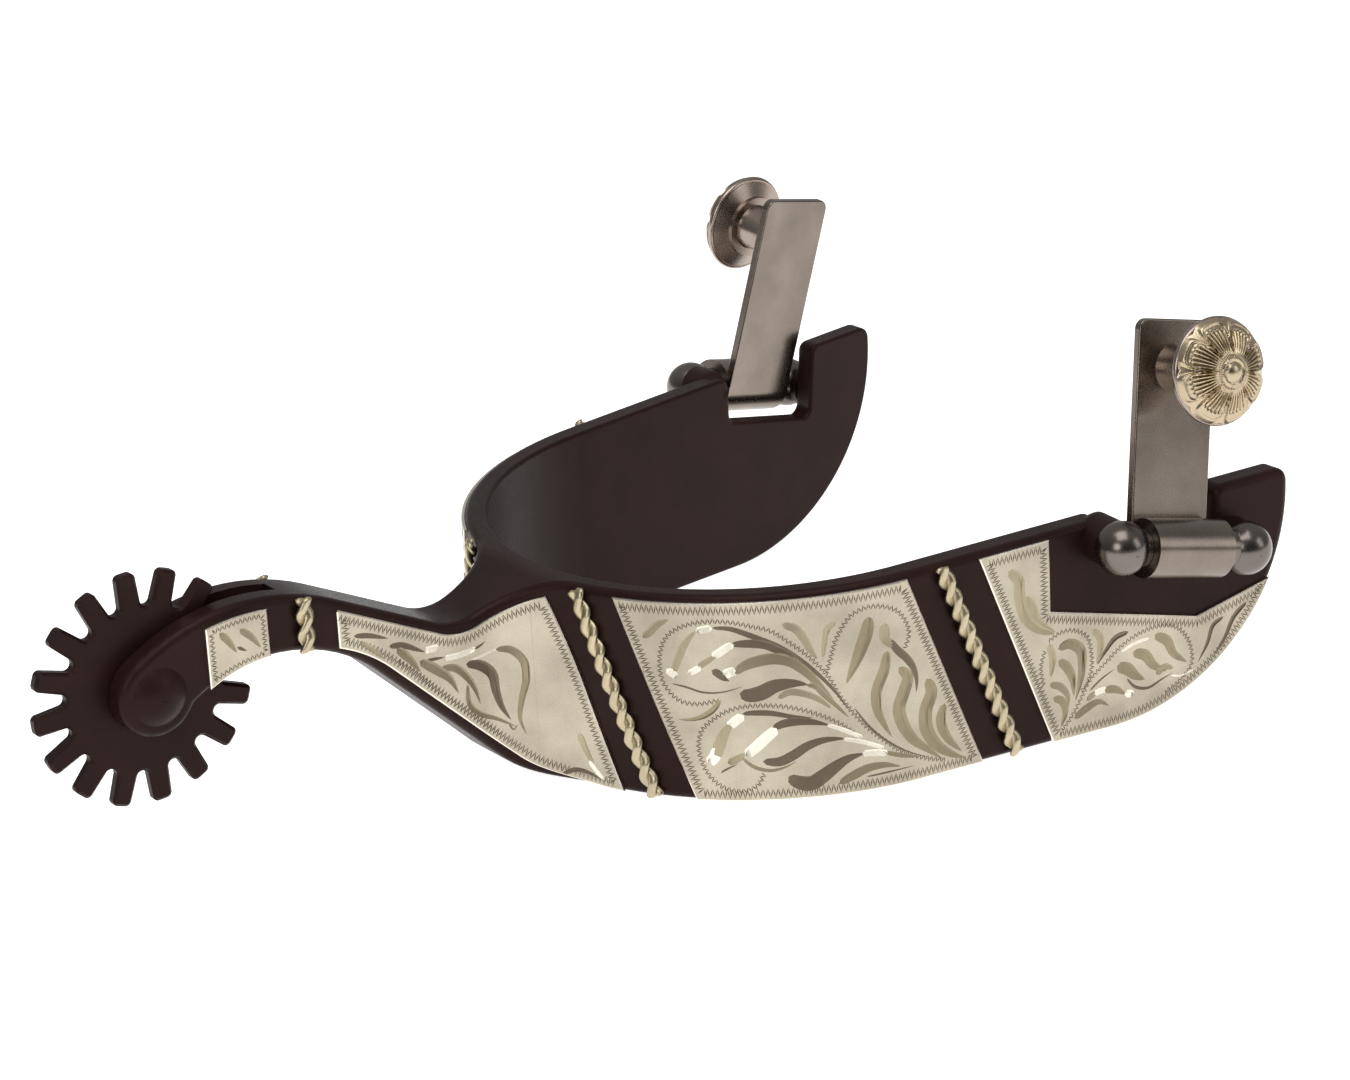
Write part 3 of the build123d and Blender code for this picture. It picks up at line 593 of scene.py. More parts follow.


# Engraved cuts, each with its finish (light, mid and dark are steps of painted shade, bright a painted
# highlight), its greatest width and the places that it runs through, as stations and heights in millimetres;
# and the lines of the zigzags that follow the scrolls.
SIDE_SCROLLS = [
    ("light", 1.1, [(26.3, 18.2), (27.1, 20.3), (28, 22.2), (29, 23.6), (29.7, 24.2)]),
    ("bright", 1, [(29.6, 24.1), (30.1, 24.3), (30.8, 24.5), (31.8, 24.7)]),
    ("dark", 0.8, [
        (31.7, 24.7), (32.7, 24.7), (34, 24.6), (36, 23.9), (38, 23), (40, 22), (42, 20.6), (44.7, 18.1),
        (47, 15.3), (49.2, 11.8),
    ]),
    ("bright", 0.87, [(28.2, 18.2), (28.7, 18.4), (29.5, 18.9), (30.1, 19.3)]),
    ("light", 0.87, [(29.5, 19.1), (30.5, 19.8), (31.7, 20.6), (32.4, 21)]),
    ("bright", 1.1, [(31.5, 20.6), (32.7, 21.4), (33.7, 22.1), (34.5, 22.4)]),
    ("dark", 1.2, [
        (34.1, 22.4), (35.3, 22.5), (36.7, 22.5), (38.3, 22.3), (40, 21.5), (41.3, 20.8), (43, 19.3),
        (44.7, 17.7),
    ]),
    ("dark", 1.1, [(31.4, 18.8), (32.2, 18.4), (32.8, 17.8), (33.7, 17.3)]),
    ("bright", 1.3, [(32.8, 18.1), (33.7, 18.5), (34.7, 18.8)]),
    ("mid", 1.6, [
        (34.4, 18.3), (35.3, 19.2), (36.3, 19.7), (37.7, 20.1), (39.3, 20.3), (41.3, 19.9), (43.3, 18.4),
        (45.3, 16), (47.3, 13.3),
    ]),
    ("dark", 2.1, [
        (34.9, 15.6), (36, 15.3), (37.7, 15.6), (39.3, 16.4), (41, 16.7), (42.7, 16.6), (43.8, 16.3),
    ]),
    ("mid", 0.8, [(43.5, 16.3), (44.5, 16.1), (45.7, 14.8), (47.3, 13), (49, 11)]),
    ("dark", 0.3, [(26, 16.7), (28, 16.3), (30, 15.7), (32.3, 15.7), (34, 16.1), (35.7, 16.7)]),
    ("light", 1, [(39.8, 14.7), (41.2, 15.5), (42.7, 15.3), (44.7, 14.4), (46.7, 12.7)]),
    ("light", 1.1, [(22.3, 22.8), (23.3, 23.6), (24.5, 24.8), (26, 25.6)]),
    ("bright", 1.1, [(25.4, 18.7), (26.2, 18.1), (26.9, 17.5)]),
    ("mid", 0.8, [(32.4, 14.7), (31.3, 13.2), (29.8, 12.2), (28, 11.7), (26.6, 11.7)]),
    ("light", 1.2, [(40.7, 25), (42.5, 24.2), (43.5, 22.7), (44.3, 21), (45.1, 19.8)]),
    ("light", 0.87, [(47.7, 24.7), (46.5, 23.7), (46.1, 22), (45.8, 19.8)]),
    ("mid", 1.9, [(52.1, 24.7), (51.9, 23.2), (51, 20.7), (49.8, 18), (48.7, 15.8)]),
    ("light", 1.5, [(54.3, 23.4), (54.2, 21.5), (55.3, 19.8)]),
    ("dark", 1.1, [(54.9, 21), (55.8, 19.5), (57.3, 17.8), (58.2, 16.3), (58.6, 14.7), (58.5, 12.7)]),
    ("mid", 1.6, [(54.5, 19.5), (54, 17), (52.8, 14), (52.8, 11.7), (53.7, 9.3), (54.8, 7.2)]),
    ("mid", 1.9, [
        (56, 16.8), (57.3, 15.3), (56.7, 13.3), (55.9, 11), (56.3, 9), (57.8, 6.3), (60, 4.3),
        (62.3, 2.3),
    ]),
    ("mid", 2.1, [
        (60.1, 14.3), (60.8, 12.5), (59.9, 10), (59.8, 7.7), (61.3, 4.7), (63.7, 2.7), (66, 1.5),
    ]),
    ("mid", 1.5, [(62.8, 10.2), (62.1, 8), (62.8, 5.7), (64.2, 3.8), (65.3, 2.7)]),
    ("dark", 0.3, [(49.7, 12.3), (51.7, 9.3), (54, 6.9), (57, 4.7), (61, 2.7)]),
    ("bright", 1.5, [(30.3, 5.5), (31.2, 6.5), (31.8, 8)]),
    ("light", 1.6, [(31.3, 6.3), (32, 8.3), (32.7, 10), (33.7, 11.4)]),
    ("bright", 1.3, [(33.2, 10.8), (34.2, 11.7), (35.3, 12.5)]),
    ("dark", 0.8, [(35.1, 12.7), (36.3, 12.8), (38.7, 12.7), (41.3, 12.1), (44.3, 11.6)]),
    ("light", 1.1, [(32.9, 5.7), (34, 6.2), (35.3, 7.1)]),
    ("bright", 1.5, [(35.3, 6.8), (36.5, 7.8), (38, 9.2), (39.5, 10.5)]),
    ("dark", 1.2, [(38.9, 10.5), (40.3, 11.1), (42.3, 11.3), (44.3, 11), (46.5, 10.3)]),
    ("bright", 0.6, [(45.9, 10.5), (48, 9.5), (50.8, 7.9)]),
    ("dark", 1.4, [
        (37.5, 5.9), (39.7, 5.8), (41.5, 6.6), (43.3, 7.7), (45.3, 8.3), (47.3, 8.3), (48.7, 8.1),
    ]),
    ("bright", 0.6, [(48, 8.2), (50.7, 7.3), (53.7, 5.9)]),
    ("mid", 0.53, [(34.8, 6.5), (36.3, 5.2), (38.3, 4.6), (40.7, 5.1), (42, 5.8)]),
    ("dark", 2.1, [(40.7, 3.6), (42, 2.7), (43.7, 2.4), (45.3, 3.3), (46.8, 4.3), (48.7, 5.3), (51, 5.7)]),
    ("bright", 0.93, [(50.5, 5.7), (52.3, 5.5), (54.2, 5.1)]),
    ("mid", 0.67, [(53.7, 5.3), (55.7, 4.5), (58.7, 3.5)]),
    ("mid", 1.3, [(47.3, 1.9), (49.3, 2.8), (51.3, 3.5), (53.7, 3.5), (56, 2.8)]),
    ("dark", 0.27, [(51, 2.3), (54, 2.4), (58, 2.5)]),
    ("dark", 0.3, [(31.9, 4.3), (33, 5), (34.3, 5.6)]),
]
SIDE_CONTOURS = [
    [
        (32.2, 14.6), (29.2, 14), (27.3, 14.2), (25.8, 15.3), (24.8, 17), (24.5, 19.3), (24.8, 21.4),
        (25.5, 23), (26.8, 24.2), (28.7, 25.1), (31.3, 25.6), (34, 25.5), (36.7, 24.9), (39.3, 24.1),
        (41.3, 22.6), (43.2, 21), (44.8, 19.3), (46.5, 17), (47.8, 14.3), (49.5, 11.7), (51.5, 9.2),
        (54, 6.7), (56.3, 4.8), (59.7, 3.1), (62.7, 2.1),
    ],
    [
        (37.6, 4.2), (36.7, 2.5), (34.7, 1.7), (32.3, 2.2), (30.5, 3.8), (29.5, 6), (29.2, 8),
        (29.7, 10.2), (31.2, 11.8), (33, 13), (35.3, 13.7), (38, 13.8), (40.7, 13.5), (43.3, 12.7),
        (45.7, 11.6), (47.7, 10.4), (49.7, 8.7),
    ],
    [
        (46.2, 17.7), (46.9, 20), (47.5, 22), (48.5, 23.8), (49.8, 25.3), (51.7, 26), (54, 25.8),
        (56, 24.8), (57.3, 23), (57.7, 21), (57, 19.3),
    ],
]
END_SCROLLS = [
    ("light", 1.8, [(73.2, 26.4), (74.7, 24.9), (74.9, 22.4), (75.9, 19.1), (77.9, 17.1), (80.3, 16)]),
    ("light", 1.3, [(75.7, 22.2), (76.8, 20.8), (77.5, 18.7), (79, 17.1), (80.4, 16.2)]),
    ("mid", 1.6, [(80.8, 13.6), (82.5, 14), (84.3, 12.8), (84.6, 10.3), (84.1, 7.6), (83.4, 5.5)]),
    ("mid", 1.4, [(80.8, 12), (82.1, 10.8), (83, 8.9), (83.2, 6.2)]),
    ("mid", 1.1, [(79.3, 8.9), (81.1, 8.1), (82.2, 6.6), (82.3, 4.9)]),
    ("mid", 1.2, [(79.8, 6.8), (81.3, 6), (81.8, 4.5), (81, 2.2)]),
    ("light", 1.2, [(79.3, 14.7), (79.9, 12.8), (79.5, 9.9)]),
    ("dark", 0.31, [(85.7, 6.4), (87.5, 7.6), (90, 8.7)]),
    ("mid", 1.8, [(90.2, 8.9), (92, 8.1), (93.1, 7), (94.8, 5.9)]),
    ("dark", 0.46, [(91.8, 6.8), (93.1, 5.3), (95.2, 4.6), (97.5, 5.3), (99.5, 5.9)]),
    ("mid", 1.6, [(92.8, 10.3), (94.8, 9.5), (96.2, 7.7), (98.4, 6.3)]),
    ("bright", 0.46, [(90.9, 10.8), (92.9, 11.5), (95.6, 11.8)]),
    ("mid", 1.5, [(96.4, 12), (98.4, 10.8), (99.5, 8.7), (101.8, 6.8)]),
    ("light", 0.85, [(85.2, 5.1), (86.4, 5.8), (87.5, 6)]),
    ("bright", 0.92, [(86.4, 5.8), (87.4, 6), (88.7, 6)]),
    ("mid", 1.2, [(88.1, 6), (89.8, 5.7), (91.7, 4.5)]),
    ("bright", 1.1, [(91.4, 4.6), (92.2, 4.5), (93, 4.2)]),
    ("light", 1.1, [(96.6, 6.2), (98.1, 7), (99.5, 6.5)]),
    ("mid", 1.2, [(83.2, 3), (85.2, 4), (87.2, 4.5), (88.9, 3.5)]),
    ("light", 1.2, [(86.4, 15.1), (87.6, 13.6), (87.5, 11.8), (87, 9.9)]),
    ("dark", 0.85, [(92.2, 13.5), (90, 13.1), (88.5, 11.7), (87.1, 9.9)]),
    ("dark", 0.69, [(107.9, 12.1), (106.2, 11.3), (105.2, 8.9), (103.5, 6.3)]),
    ("dark", 0.77, [(111.8, 13.4), (109.7, 11.8), (108, 8.9), (106.2, 6.8)]),
    ("bright", 0.27, [(99.1, 5.5), (100.6, 5.1), (102.9, 5.5)]),
]
END_CONTOURS = [
    [
        (79.3, 15.1), (81.2, 15.9), (83.5, 15.7), (85.4, 14.4), (86.1, 12), (86.1, 9.5), (85.2, 7.2),
        (84.1, 5.3), (82.7, 3.3), (81.2, 1.8),
    ],
    [
        (84.4, 6.6), (86.4, 8.5), (88.7, 10.1), (91, 11.7), (93.7, 12.8), (96.8, 13.2), (99.4, 12.7),
        (101.4, 11), (102.5, 8.5), (102.5, 6.4), (100.6, 4.5), (98.1, 3.3),
    ],
    [(78.7, 13.9), (78, 11.6), (78.4, 8.9)],
]
FLARE_SCROLLS = [
    ("dark", 0.75, [(-20.7, 27.3), (-18.6, 26.8), (-15.6, 25.6)]),
    ("light", 0.75, [(-19.9, 26.4), (-18.3, 24.9), (-16.5, 23.1)]),
    ("dark", 0.88, [(-15.6, 24.5), (-13.6, 24.1), (-11.9, 23.2), (-10.2, 22.2)]),
    ("bright", 0.94, [(-10.5, 22.5), (-9.4, 22.4), (-8.1, 22.4)]),
    ("mid", 1.2, [(-14.5, 23.9), (-13, 22.3), (-11.1, 19.7)]),
    ("mid", 1.4, [(-11.2, 21.2), (-8.9, 19.5), (-6.7, 17.4), (-5.6, 15.1)]),
    ("dark", 0.5, [(-10.2, 21), (-8.8, 20.9), (-7.3, 20.7)]),
    ("bright", 0.88, [(-7.6, 20.6), (-5.2, 20.4), (-2.5, 20.7)]),
    ("dark", 0.38, [(-2.8, 20.6), (-1.7, 20.9), (-0.9, 21.3)]),
    ("mid", 1.1, [(-8, 19.4), (-5.9, 18.8), (-4.2, 17.1), (-3, 14.9), (-2.4, 12.7)]),
    ("dark", 1.5, [(-4.2, 18.9), (-2, 18.1), (-0.3, 16.5), (0.1, 14.1), (0.8, 11.6), (2, 9.4)]),
    ("bright", 0.38, [(-4, 19.1), (-1.7, 19.4), (0.8, 19.8)]),
    ("mid", 1.2, [(0.5, 19.8), (2.6, 19.4), (4.3, 17.6), (4.5, 15.1), (3.7, 12.2), (3.3, 9.4), (4.1, 6.9)]),
    ("mid", 0.81, [(-4.2, 16), (-4, 13), (-2.5, 11.3), (-0.2, 10.1), (2.8, 8.3)]),
    ("light", 1.1, [(11.6, 7.6), (12.5, 5.5), (13.8, 3.3)]),
    ("bright", 0.69, [(13, 3.8), (14.1, 2.6), (15.4, 1.3)]),
    ("dark", 0.69, [(8.6, 1.2), (10.8, 2.1), (13, 2), (15.3, 1.3)]),
    ("dark", 0.25, [(1.6, 9.1), (2.3, 8), (3, 8.8)]),
]
FLARE_CONTOURS = [
    [(-14.5, 22.2), (-11.7, 19.8), (-9.2, 16.9), (-6.7, 14.4), (-4.2, 11.9), (-1.7, 9.4), (0.5, 7.4)],
]
TIP_SCROLLS = [
    ("mid", 1, [(-39.9, 32.9), (-38.8, 31.6), (-37.6, 29.6)]),
    ("dark", 0.5, [(-37.6, 30.4), (-36.2, 29.5)]),
    ("mid", 1, [(-37, 32.6), (-35.6, 31.4), (-34.2, 29.4)]),
]
PLATES = {
    "shank_tip_plate": (TIP_SCROLLS, []),
    "shank_flare_plate": (FLARE_SCROLLS, FLARE_CONTOURS),
    "side_plate": (SIDE_SCROLLS, SIDE_CONTOURS),
    "end_plate": (END_SCROLLS, END_CONTOURS),
}


class SPUR_OT_forging(bpy.types.Operator):
    """Browns the forged yoke, the rowel and its pin"""

    bl_idname = "spur.forging"
    bl_label = "Forging and rowel"

    def execute(self, context):
        finish = browned_steel()
        for node in ("yoke", "rowel", "rowel_pin"):
            give_finish(node, finish)
        return {"FINISHED"}


def give_finish(node, material, arm_material=None):
    """Puts a material on a carried piece, and another on what lies off a hinge's ball."""
    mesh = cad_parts[node].data
    mesh.materials.clear()
    mesh.materials.append(material)
    if arm_material:
        mesh.materials.append(arm_material)
        ball = REAR_BALL + PIN_AXIS * (BALL_SPACING if "front" in node else 0.0)
        for polygon in mesh.polygons:
            place = polygon.center / MM
            place.y = -abs(place.y)
            polygon.material_index = int((place - ball).length > BALL_REACH)


class SPUR_OT_hinges(bpy.types.Operator):
    """Finishes the lugs, hinge pins, straps and studs"""

    bl_idname = "spur.hinges"
    bl_label = "Hinges, straps and studs"

    def execute(self, context):
        colours = context.scene.spur_colours
        # Polished steel: dark, with clear highlights and only the finest polishing marks.
        polished = worked_metal("steel_polished", colours.polished, 0.26, 0.15, (1, 1, 1), 0.003, 0.12)
        # Brushed steel: a soft sheen drawn out along the strap by upright brush marks.
        brushed = worked_metal("steel_brushed", colours.strap, 0.25, 0.08, (1, 1, 40), 0.008, 0.2)
        # Turned steel: brighter and a little warmer, with the lathe's fine marks.
        turned = worked_metal("steel_turned", colours.turned, 0.27, 0.15, (1, 1, 1), 0.004, 0.12)
        browned = browned_steel()
        for side in BODIES:
            give_finish(f"hinge_pin_{side}", polished)
            give_finish(f"button_stud_{side}", turned)
            for node in ("hinge_lug_rear", "hinge_lug_front"):
                give_finish(f"{node}_{side}", polished, browned)
            give_finish(f"button_strap_{side}", brushed)
        return {"FINISHED"}


class SPUR_OT_plates(bpy.types.Operator):
    """Engraves the overlay plates of both sides"""

    bl_idname = "spur.plates"
    bl_label = "Engraved plates"

    def execute(self, context):
        sizes = context.scene.spur_sizes
        colours = context.scene.spur_colours
        # Nickel silver sheet, rubbed with fine abrasive: pale, warm grey and satin, a little cloudy.
        sheet = worked_metal("nickel_silver_rubbed", colours.plate, 0.27, 0.15, (3, 3, 1), 0.003, 0.2)
        # Nickel silver cut with a flat graver: facets with close cross marks, stepped darker from almost the
        # sheet's own colour to a brown-grey as painted shade in the cuts, partly a brown tone, and heads
        # coloured near white as a painted highlight.
        facets = [
            worked_metal(
                f"nickel_silver_cut_{finish}", getattr(colours, finish), roughness, 0.2, (1, 1, 8), 0.03, 0.14
            )
            for finish, roughness in zip(FINISHES_AND_PAINTED_LIGHT[1:], CUT_ROUGHNESS)
        ]
        pitch = sizes.wriggle_pitch / MM
        for plate, (scrolls, contours) in PLATES.items():
            node = plate + "_right"
            cuts = [leaf_cut(*scroll, sizes.cut_slope) for scroll in scrolls]
            width = sizes.wriggle_width / MM * (0.6 if plate == "shank_tip_plate" else 1)
            rail = moved_in(plate_outline(node), sizes.wriggle_inset / MM + width / 2)
            cuts += wriggle_cuts(rail, pitch, width, sizes.cut_slope * 2, True)
            for contour in contours:
                rail = smooth_line(contour, CONTOUR_STEP)
                cuts += wriggle_cuts(rail, pitch, sizes.contour_width / MM, sizes.cut_slope * 2, False)
            vertices, faces, flags = engraved_mesh(node, cuts)
            for side in BODIES:
                if side == "left":
                    vertices, faces = other_side(vertices, faces)
                piece = new_piece(
                    f"{plate}_engraved_{side}", vertices, faces, [sheet, *facets], flags, radians(9)
                )
                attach(piece, "heel_band")
                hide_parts(f"{plate}_{side}")
        return {"FINISHED"}


def wire_strand(path, twist, phase):
    """Vertices and faces of one flattened strand wound round a path of skin places."""
    line = smooth_line(path, STRAND_STEP)
    length = np.linalg.norm(np.diff(line, axis=0), axis=1).sum()
    along = np.gradient(line, axis=0)
    along /= np.linalg.norm(along, axis=1)[:, None]
    normals = np.stack([-along[:, 1], along[:, 0]], 1)
    vertices, faces = [], []
    for i, (place, normal) in enumerate(zip(line, normals)):
        share = i / (len(line) - 1)
        turn = 2 * pi * share * length / twist + phase
        end = min(share, 1 - share) * length
        fullness = sqrt(max(0.0, 1 - max(0.0, 1 - end / STRAND_END) ** 2)) if end < STRAND_END else 1.0
        aside, out = STRAND_ASIDE * cos(turn), STRAND_MIDDLE + STRAND_SWING * sin(turn)
        for k in range(STRAND_SIDES):
            angle = 2 * pi * k / STRAND_SIDES
            a = aside + STRAND_HALF_WIDTH * max(fullness, 0.05) * cos(angle)
            o = out + STRAND_HALF_HEIGHT * max(fullness, 0.05) * sin(angle)
            if o > FLAT_HEIGHT:
                o = FLAT_HEIGHT + FLAT_RISE * (1 - 1 / (1 + max(0.0, o - 1.0) * 5))
            o = max(o, 0.0)
            vertices.append(skin_point(place[0] + normal[0] * a, place[1] + normal[1] * a, o))
    rings = len(line)
    for i in range(rings - 1):
        for k in range(STRAND_SIDES):
            a, b = i * STRAND_SIDES + k, i * STRAND_SIDES + (k + 1) % STRAND_SIDES
            faces.append((a, b, b + STRAND_SIDES, a + STRAND_SIDES))
    faces.append(tuple(range(STRAND_SIDES))[::-1])
    faces.append(tuple(range((rings - 1) * STRAND_SIDES, rings * STRAND_SIDES)))
    return vertices, faces


class SPUR_OT_wires(bpy.types.Operator):
    """Winds the twisted wires beside the plates"""

    bl_idname = "spur.wires"
    bl_label = "Twisted wires"

    def execute(self, context):
        sizes = context.scene.spur_sizes
        # Bronze wire, drawn, twisted in pairs and hammered down: warm, its tops flattened.
        colour = context.scene.spur_colours.wire
        bronze = worked_metal("bronze_wire_hammered", colour, 0.36, 0.3, (1, 1, 1), 0.02)
        for wire in ("shank_rope", "heel_rope", "front_rope"):
            places = [skin_place(v.co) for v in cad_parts[f"{wire}_right"].data.vertices]
            bottom = min(p[1] for p in places) + 0.1
            top = max(p[1] for p in places) - 0.1
            slant = 0 if wire == "shank_rope" else tan(STRIP_SLANT)
            centre = (min(p[0] for p in places) + max(p[0] for p in places)) / 2
            mid_height = (bottom + top) / 2
            path = [
                (centre - (height - mid_height) * slant, height)
                for height in np.linspace(bottom, top, 7)
            ]
            vertices, faces = [], []
            for phase in (0, pi):
                more, their_faces = wire_strand(path, sizes.wire_twist / MM, phase)
                first = len(vertices)
                vertices += more
                faces += [tuple(first + i for i in face) for face in their_faces]
            for side in BODIES:
                if side == "left":
                    vertices, faces = other_side(vertices, faces)
                piece = new_piece(f"{wire}_twisted_{side}", vertices, faces, [bronze], sharp=radians(50))
                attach(piece, "heel_band")
                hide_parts(f"{wire}_{side}")
        return {"FINISHED"}


def cap_frame(side):
    """Frame on the base of a button's cap, its Z axis outward and its Y axis up the strap."""
    upright = OUTBOARD.cross(PIN_AXIS)
    outward = OUTBOARD * cos(STRAP_LEAN[side]) + upright * sin(STRAP_LEAN[side])
    across = PIN_AXIS.copy()
    if side == "left":
        outward.y, across.y = -outward.y, -across.y
    up = outward.cross(across) * (1 if side == "right" else -1)
    points = [v.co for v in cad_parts[f"button_cap_{side}"].data.vertices]
    base = min(p.dot(outward) for p in points)
    middle = outward * base
    for axis in (across, up):
        reach = [p.dot(axis) for p in points]
        middle += axis * ((min(reach) + max(reach)) / 2)
    return Matrix((across, up, outward)).transposed().to_4x4(), middle


def cap_edge(angle, petals):
    """Radius of a gilt cap's scalloped edge, in millimetres."""
    return CAP_RADIUS - 0.35 * abs(2 * ((angle * petals / (2 * pi)) % 1) - 1) ** 4


def cap_height(radius, angle, petals):
    """Height of a gilt cap above its base and how deep its hollows are, in millimetres."""
    share = min(1.0, radius / CAP_RADIUS)
    phase = (angle * petals / (2 * pi)) % 1
    aside = abs(2 * phase - 1)
    rim = cap_edge(angle, petals) - 0.45 - 3.4 * aside**7
    ridge = 0.3 * exp(-(((radius - rim) / 0.3) ** 2)) + 0.16 * exp(-(((radius - rim + 0.8) / 0.22) ** 2))
    within = 1 / (1 + exp((radius - rim + 1.0) / 0.15))
    reach = min(1.0, max(0.0, (radius - 1.9) / 1.6))
    groove = 0.3 * (0.5 - 0.5 * cos(2 * pi * phase * CAP_FLUTES)) * within * reach
    bud = 0.5 * sqrt(1 - (radius / BUD_RADIUS) ** 2) if radius < BUD_RADIUS else 0.0
    rings = 0.22 * exp(-(((radius - 1.75) / 0.2) ** 2)) + 0.16 * exp(-(((radius - 2.35) / 0.18) ** 2))
    beyond = 0.22 * max(0.0, min(1.0, (radius - rim) / 0.5))
    return CAP_RIM_HEIGHT + CAP_DOME * (1 - share**2) + ridge - groove + bud + rings - beyond, groove


class SPUR_OT_caps(bpy.types.Operator):
    """Forms the gilt caps of the buttons"""

    bl_idname = "spur.caps"
    bl_label = "Gilt caps"

    def execute(self, context):
        petals = context.scene.spur_sizes.petals
        colours = context.scene.spur_colours
        # Gilt brass, struck and burnished: muted grey-gold, with the faces deep in the hollows in a darker
        # brown gilt, painted shade.
        gilt = worked_metal("brass_gilt_struck", colours.gilt, 0.3, 0.2, (1, 1, 1), 0.01)
        gilt_shade_material = worked_metal("brass_gilt_toned", colours.gilt_painted_shade, 0.42, 0.2, (1, 1, 1), 0.01)
        around, rings = CAP_SEGMENTS * petals, CAP_RINGS
        for side, body in BODIES.items():
            turn, middle = cap_frame(side)
            height, groove = cap_height(0, 0, petals)
            vertices = [middle + (turn @ Vector((0, 0, height * MM)))]
            hollows = [groove]
            for ring in range(1, rings + 2):
                for k in range(around):
                    angle = 2 * pi * k / around
                    radius = cap_edge(angle, petals) * min(1.0, ring / rings)
                    height, groove = cap_height(radius, angle, petals) if ring <= rings else (0.0, 0.0)
                    local = Vector((radius * cos(angle), radius * sin(angle), height)) * MM
                    vertices.append(middle + (turn @ local))
                    hollows.append(groove)
            faces = [(0, 1 + k, 1 + (k + 1) % around) for k in range(around)]
            for ring in range(rings):
                for k in range(around):
                    a = 1 + ring * around + k
                    b = 1 + ring * around + (k + 1) % around
                    faces.append((a, a + around, b + around, b))
            last = 1 + rings * around
            faces.append(tuple(last + k for k in range(around))[::-1])
            # Faces deep in the hollows take the darker gilt, as painted shade.
            flags = [int(sum(hollows[i] for i in face) > PAINTED_SHADE_DEPTH * len(face)) for face in faces]
            if side == "left":
                faces = [face[::-1] for face in faces]
            piece = new_piece(
                f"button_rosette_{side}", vertices, faces, [gilt, gilt_shade_material], flags, sharp=radians(60)
            )
            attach(piece, body)
            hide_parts(f"button_cap_{side}")
        return {"FINISHED"}


def soft_lamp(name, place, width, height, power):
    """A rectangular lamp that faces the object."""
    lamp = bpy.data.lights.new(name, "AREA")
    lamp.shape = "RECTANGLE"
    lamp.size, lamp.size_y, lamp.energy = width, height, power
    holder = bpy.data.objects.new(name, lamp)
    holder.location = place
    holder.rotation_euler = (Vector(LOOK_AT) - Vector(place)).to_track_quat("-Z", "Y").to_euler()
    bpy.context.scene.collection.objects.link(holder)


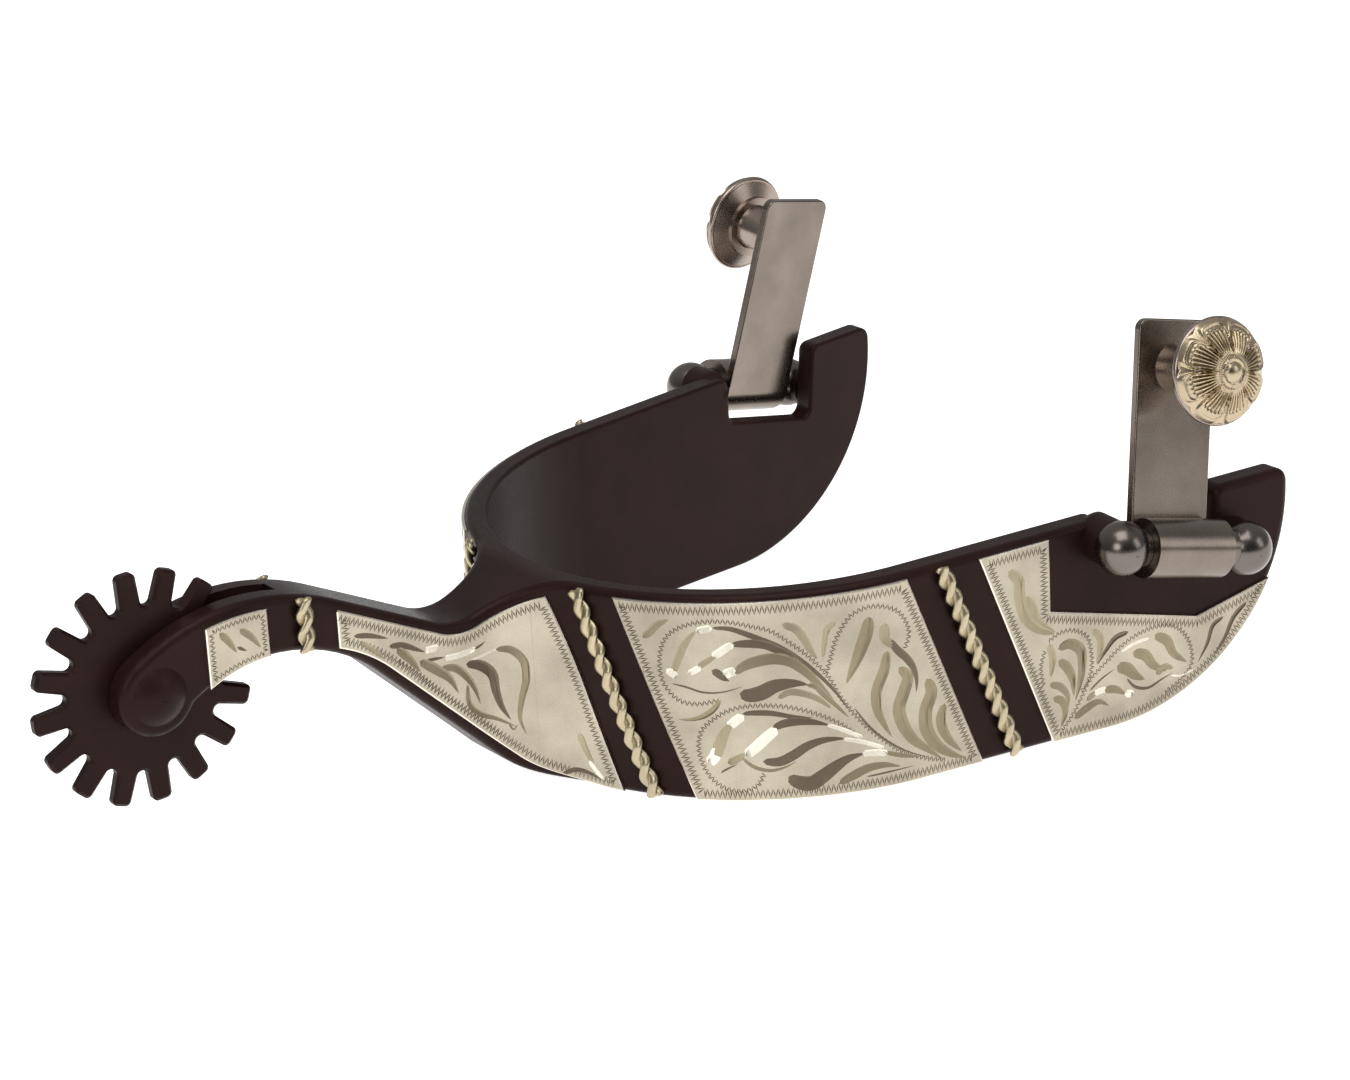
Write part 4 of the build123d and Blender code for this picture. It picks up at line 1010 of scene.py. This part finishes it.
class SPUR_OT_stage(bpy.types.Operator):
    """Sets the floor, the lights and the camera"""

    bl_idname = "spur.stage"
    bl_label = "Stage"

    def execute(self, context):
        scene = context.scene
        corners = [(x * STAGE_REACH, y * STAGE_REACH, 0) for x, y in ((-1, -1), (1, -1), (1, 1), (-1, 1))]
        # White paper sweep: matt, and as white to the eye as the wall behind it.
        paper = bpy.data.materials.new("paper_white_matt")
        paper.use_nodes = True
        tree = paper.node_tree
        tree.nodes.clear()
        ray = add_node(tree, "ShaderNodeLightPath")
        seen = add_node(
            tree, "ShaderNodeMath", {"operation": "MAXIMUM"},
            {0: ray.outputs["Is Camera Ray"], 1: ray.outputs["Is Glossy Ray"]},
        )
        matt = add_node(tree, "ShaderNodeBsdfDiffuse", None, {"Color": linear("#F4F4F4")})
        glow = add_node(tree, "ShaderNodeEmission", None, {"Color": (1, 1, 1, 1), "Strength": 0.9})
        lifted = add_node(tree, "ShaderNodeAddShader", None, {0: matt.outputs[0], 1: glow.outputs[0]})
        mixed = add_node(tree, "ShaderNodeMixShader", None, {
            0: seen.outputs[0], 1: matt.outputs[0], 2: lifted.outputs[0],
        })
        add_node(tree, "ShaderNodeOutputMaterial", None, {"Surface": mixed.outputs[0]})
        new_piece("paper_sweep", corners, [(0, 1, 2, 3)], [paper])

        world = bpy.data.worlds.new("studio")
        scene.world = world
        world.use_nodes = True
        tree = world.node_tree
        tree.nodes.clear()
        ray = add_node(tree, "ShaderNodeLightPath")
        facing = add_node(tree, "ShaderNodeTexCoord").outputs["Generated"]
        # The room is bright overhead and behind the object, and darker in front of it.
        bright = add_node(
            tree, "ShaderNodeVectorMath", {"operation": "DOT_PRODUCT"}, {0: facing, 1: (0.35, 0.55, 0.75)}
        )
        room = add_node(tree, "ShaderNodeMapRange", None, {
            "Value": bright.outputs["Value"], "From Min": -0.35, "From Max": 0.8,
            "To Min": 0.03, "To Max": 0.42,
        })
        dim = add_node(tree, "ShaderNodeBackground", None, {
            "Color": (1, 1, 1, 1), "Strength": room.outputs["Result"],
        })
        white = add_node(tree, "ShaderNodeBackground", None, {"Color": (1, 1, 1, 1), "Strength": 1.0})
        shown = add_node(
            tree, "ShaderNodeMixShader", None,
            {0: ray.outputs["Is Camera Ray"], 1: dim.outputs[0], 2: white.outputs[0]},
        )
        add_node(tree, "ShaderNodeOutputWorld", None, {"Surface": shown.outputs[0]})

        for lamp in LAMPS:
            soft_lamp(*lamp)

        camera = bpy.data.cameras.new("camera")
        camera.lens = CAMERA_LENS
        camera.sensor_width = 36
        camera.clip_start = 0.01
        holder = bpy.data.objects.new("camera", camera)
        holder.location = CAMERA_PLACE
        holder.rotation_euler = Euler([radians(angle) for angle in CAMERA_TURN])
        scene.collection.objects.link(holder)
        scene.camera = holder
        scene.view_settings.view_transform = "Standard"
        return {"FINISHED"}


class SPUR_PT_panel(bpy.types.Panel):
    """Lists the spur's steps, sizes and colours"""

    bl_idname = "SPUR_PT_panel"
    bl_label = "Western spur"
    bl_space_type = "VIEW_3D"
    bl_region_type = "UI"
    bl_category = "Spur"

    def draw(self, context):
        layout = self.layout
        for step in STEPS:
            layout.operator(step.bl_idname)
        for group in (context.scene.spur_sizes, context.scene.spur_colours):
            for name in group.__annotations__:
                layout.prop(group, name)


STEPS = (SPUR_OT_forging, SPUR_OT_hinges, SPUR_OT_plates, SPUR_OT_wires, SPUR_OT_caps, SPUR_OT_stage)
CLASSES = (SpurSizes, SpurColours, *STEPS, SPUR_PT_panel)


def register():
    for cls in CLASSES:
        bpy.utils.register_class(cls)
    bpy.types.Scene.spur_sizes = PointerProperty(type=SpurSizes)
    bpy.types.Scene.spur_colours = PointerProperty(type=SpurColours)


def unregister():
    del bpy.types.Scene.spur_colours
    del bpy.types.Scene.spur_sizes
    for cls in reversed(CLASSES):
        bpy.utils.unregister_class(cls)


def main():
    """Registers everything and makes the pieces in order."""
    register()
    bpy.ops.spur.forging()
    bpy.ops.spur.hinges()
    bpy.ops.spur.plates()
    bpy.ops.spur.wires()
    bpy.ops.spur.caps()
    bpy.ops.spur.stage()


if __name__ == "__main__":
    main()
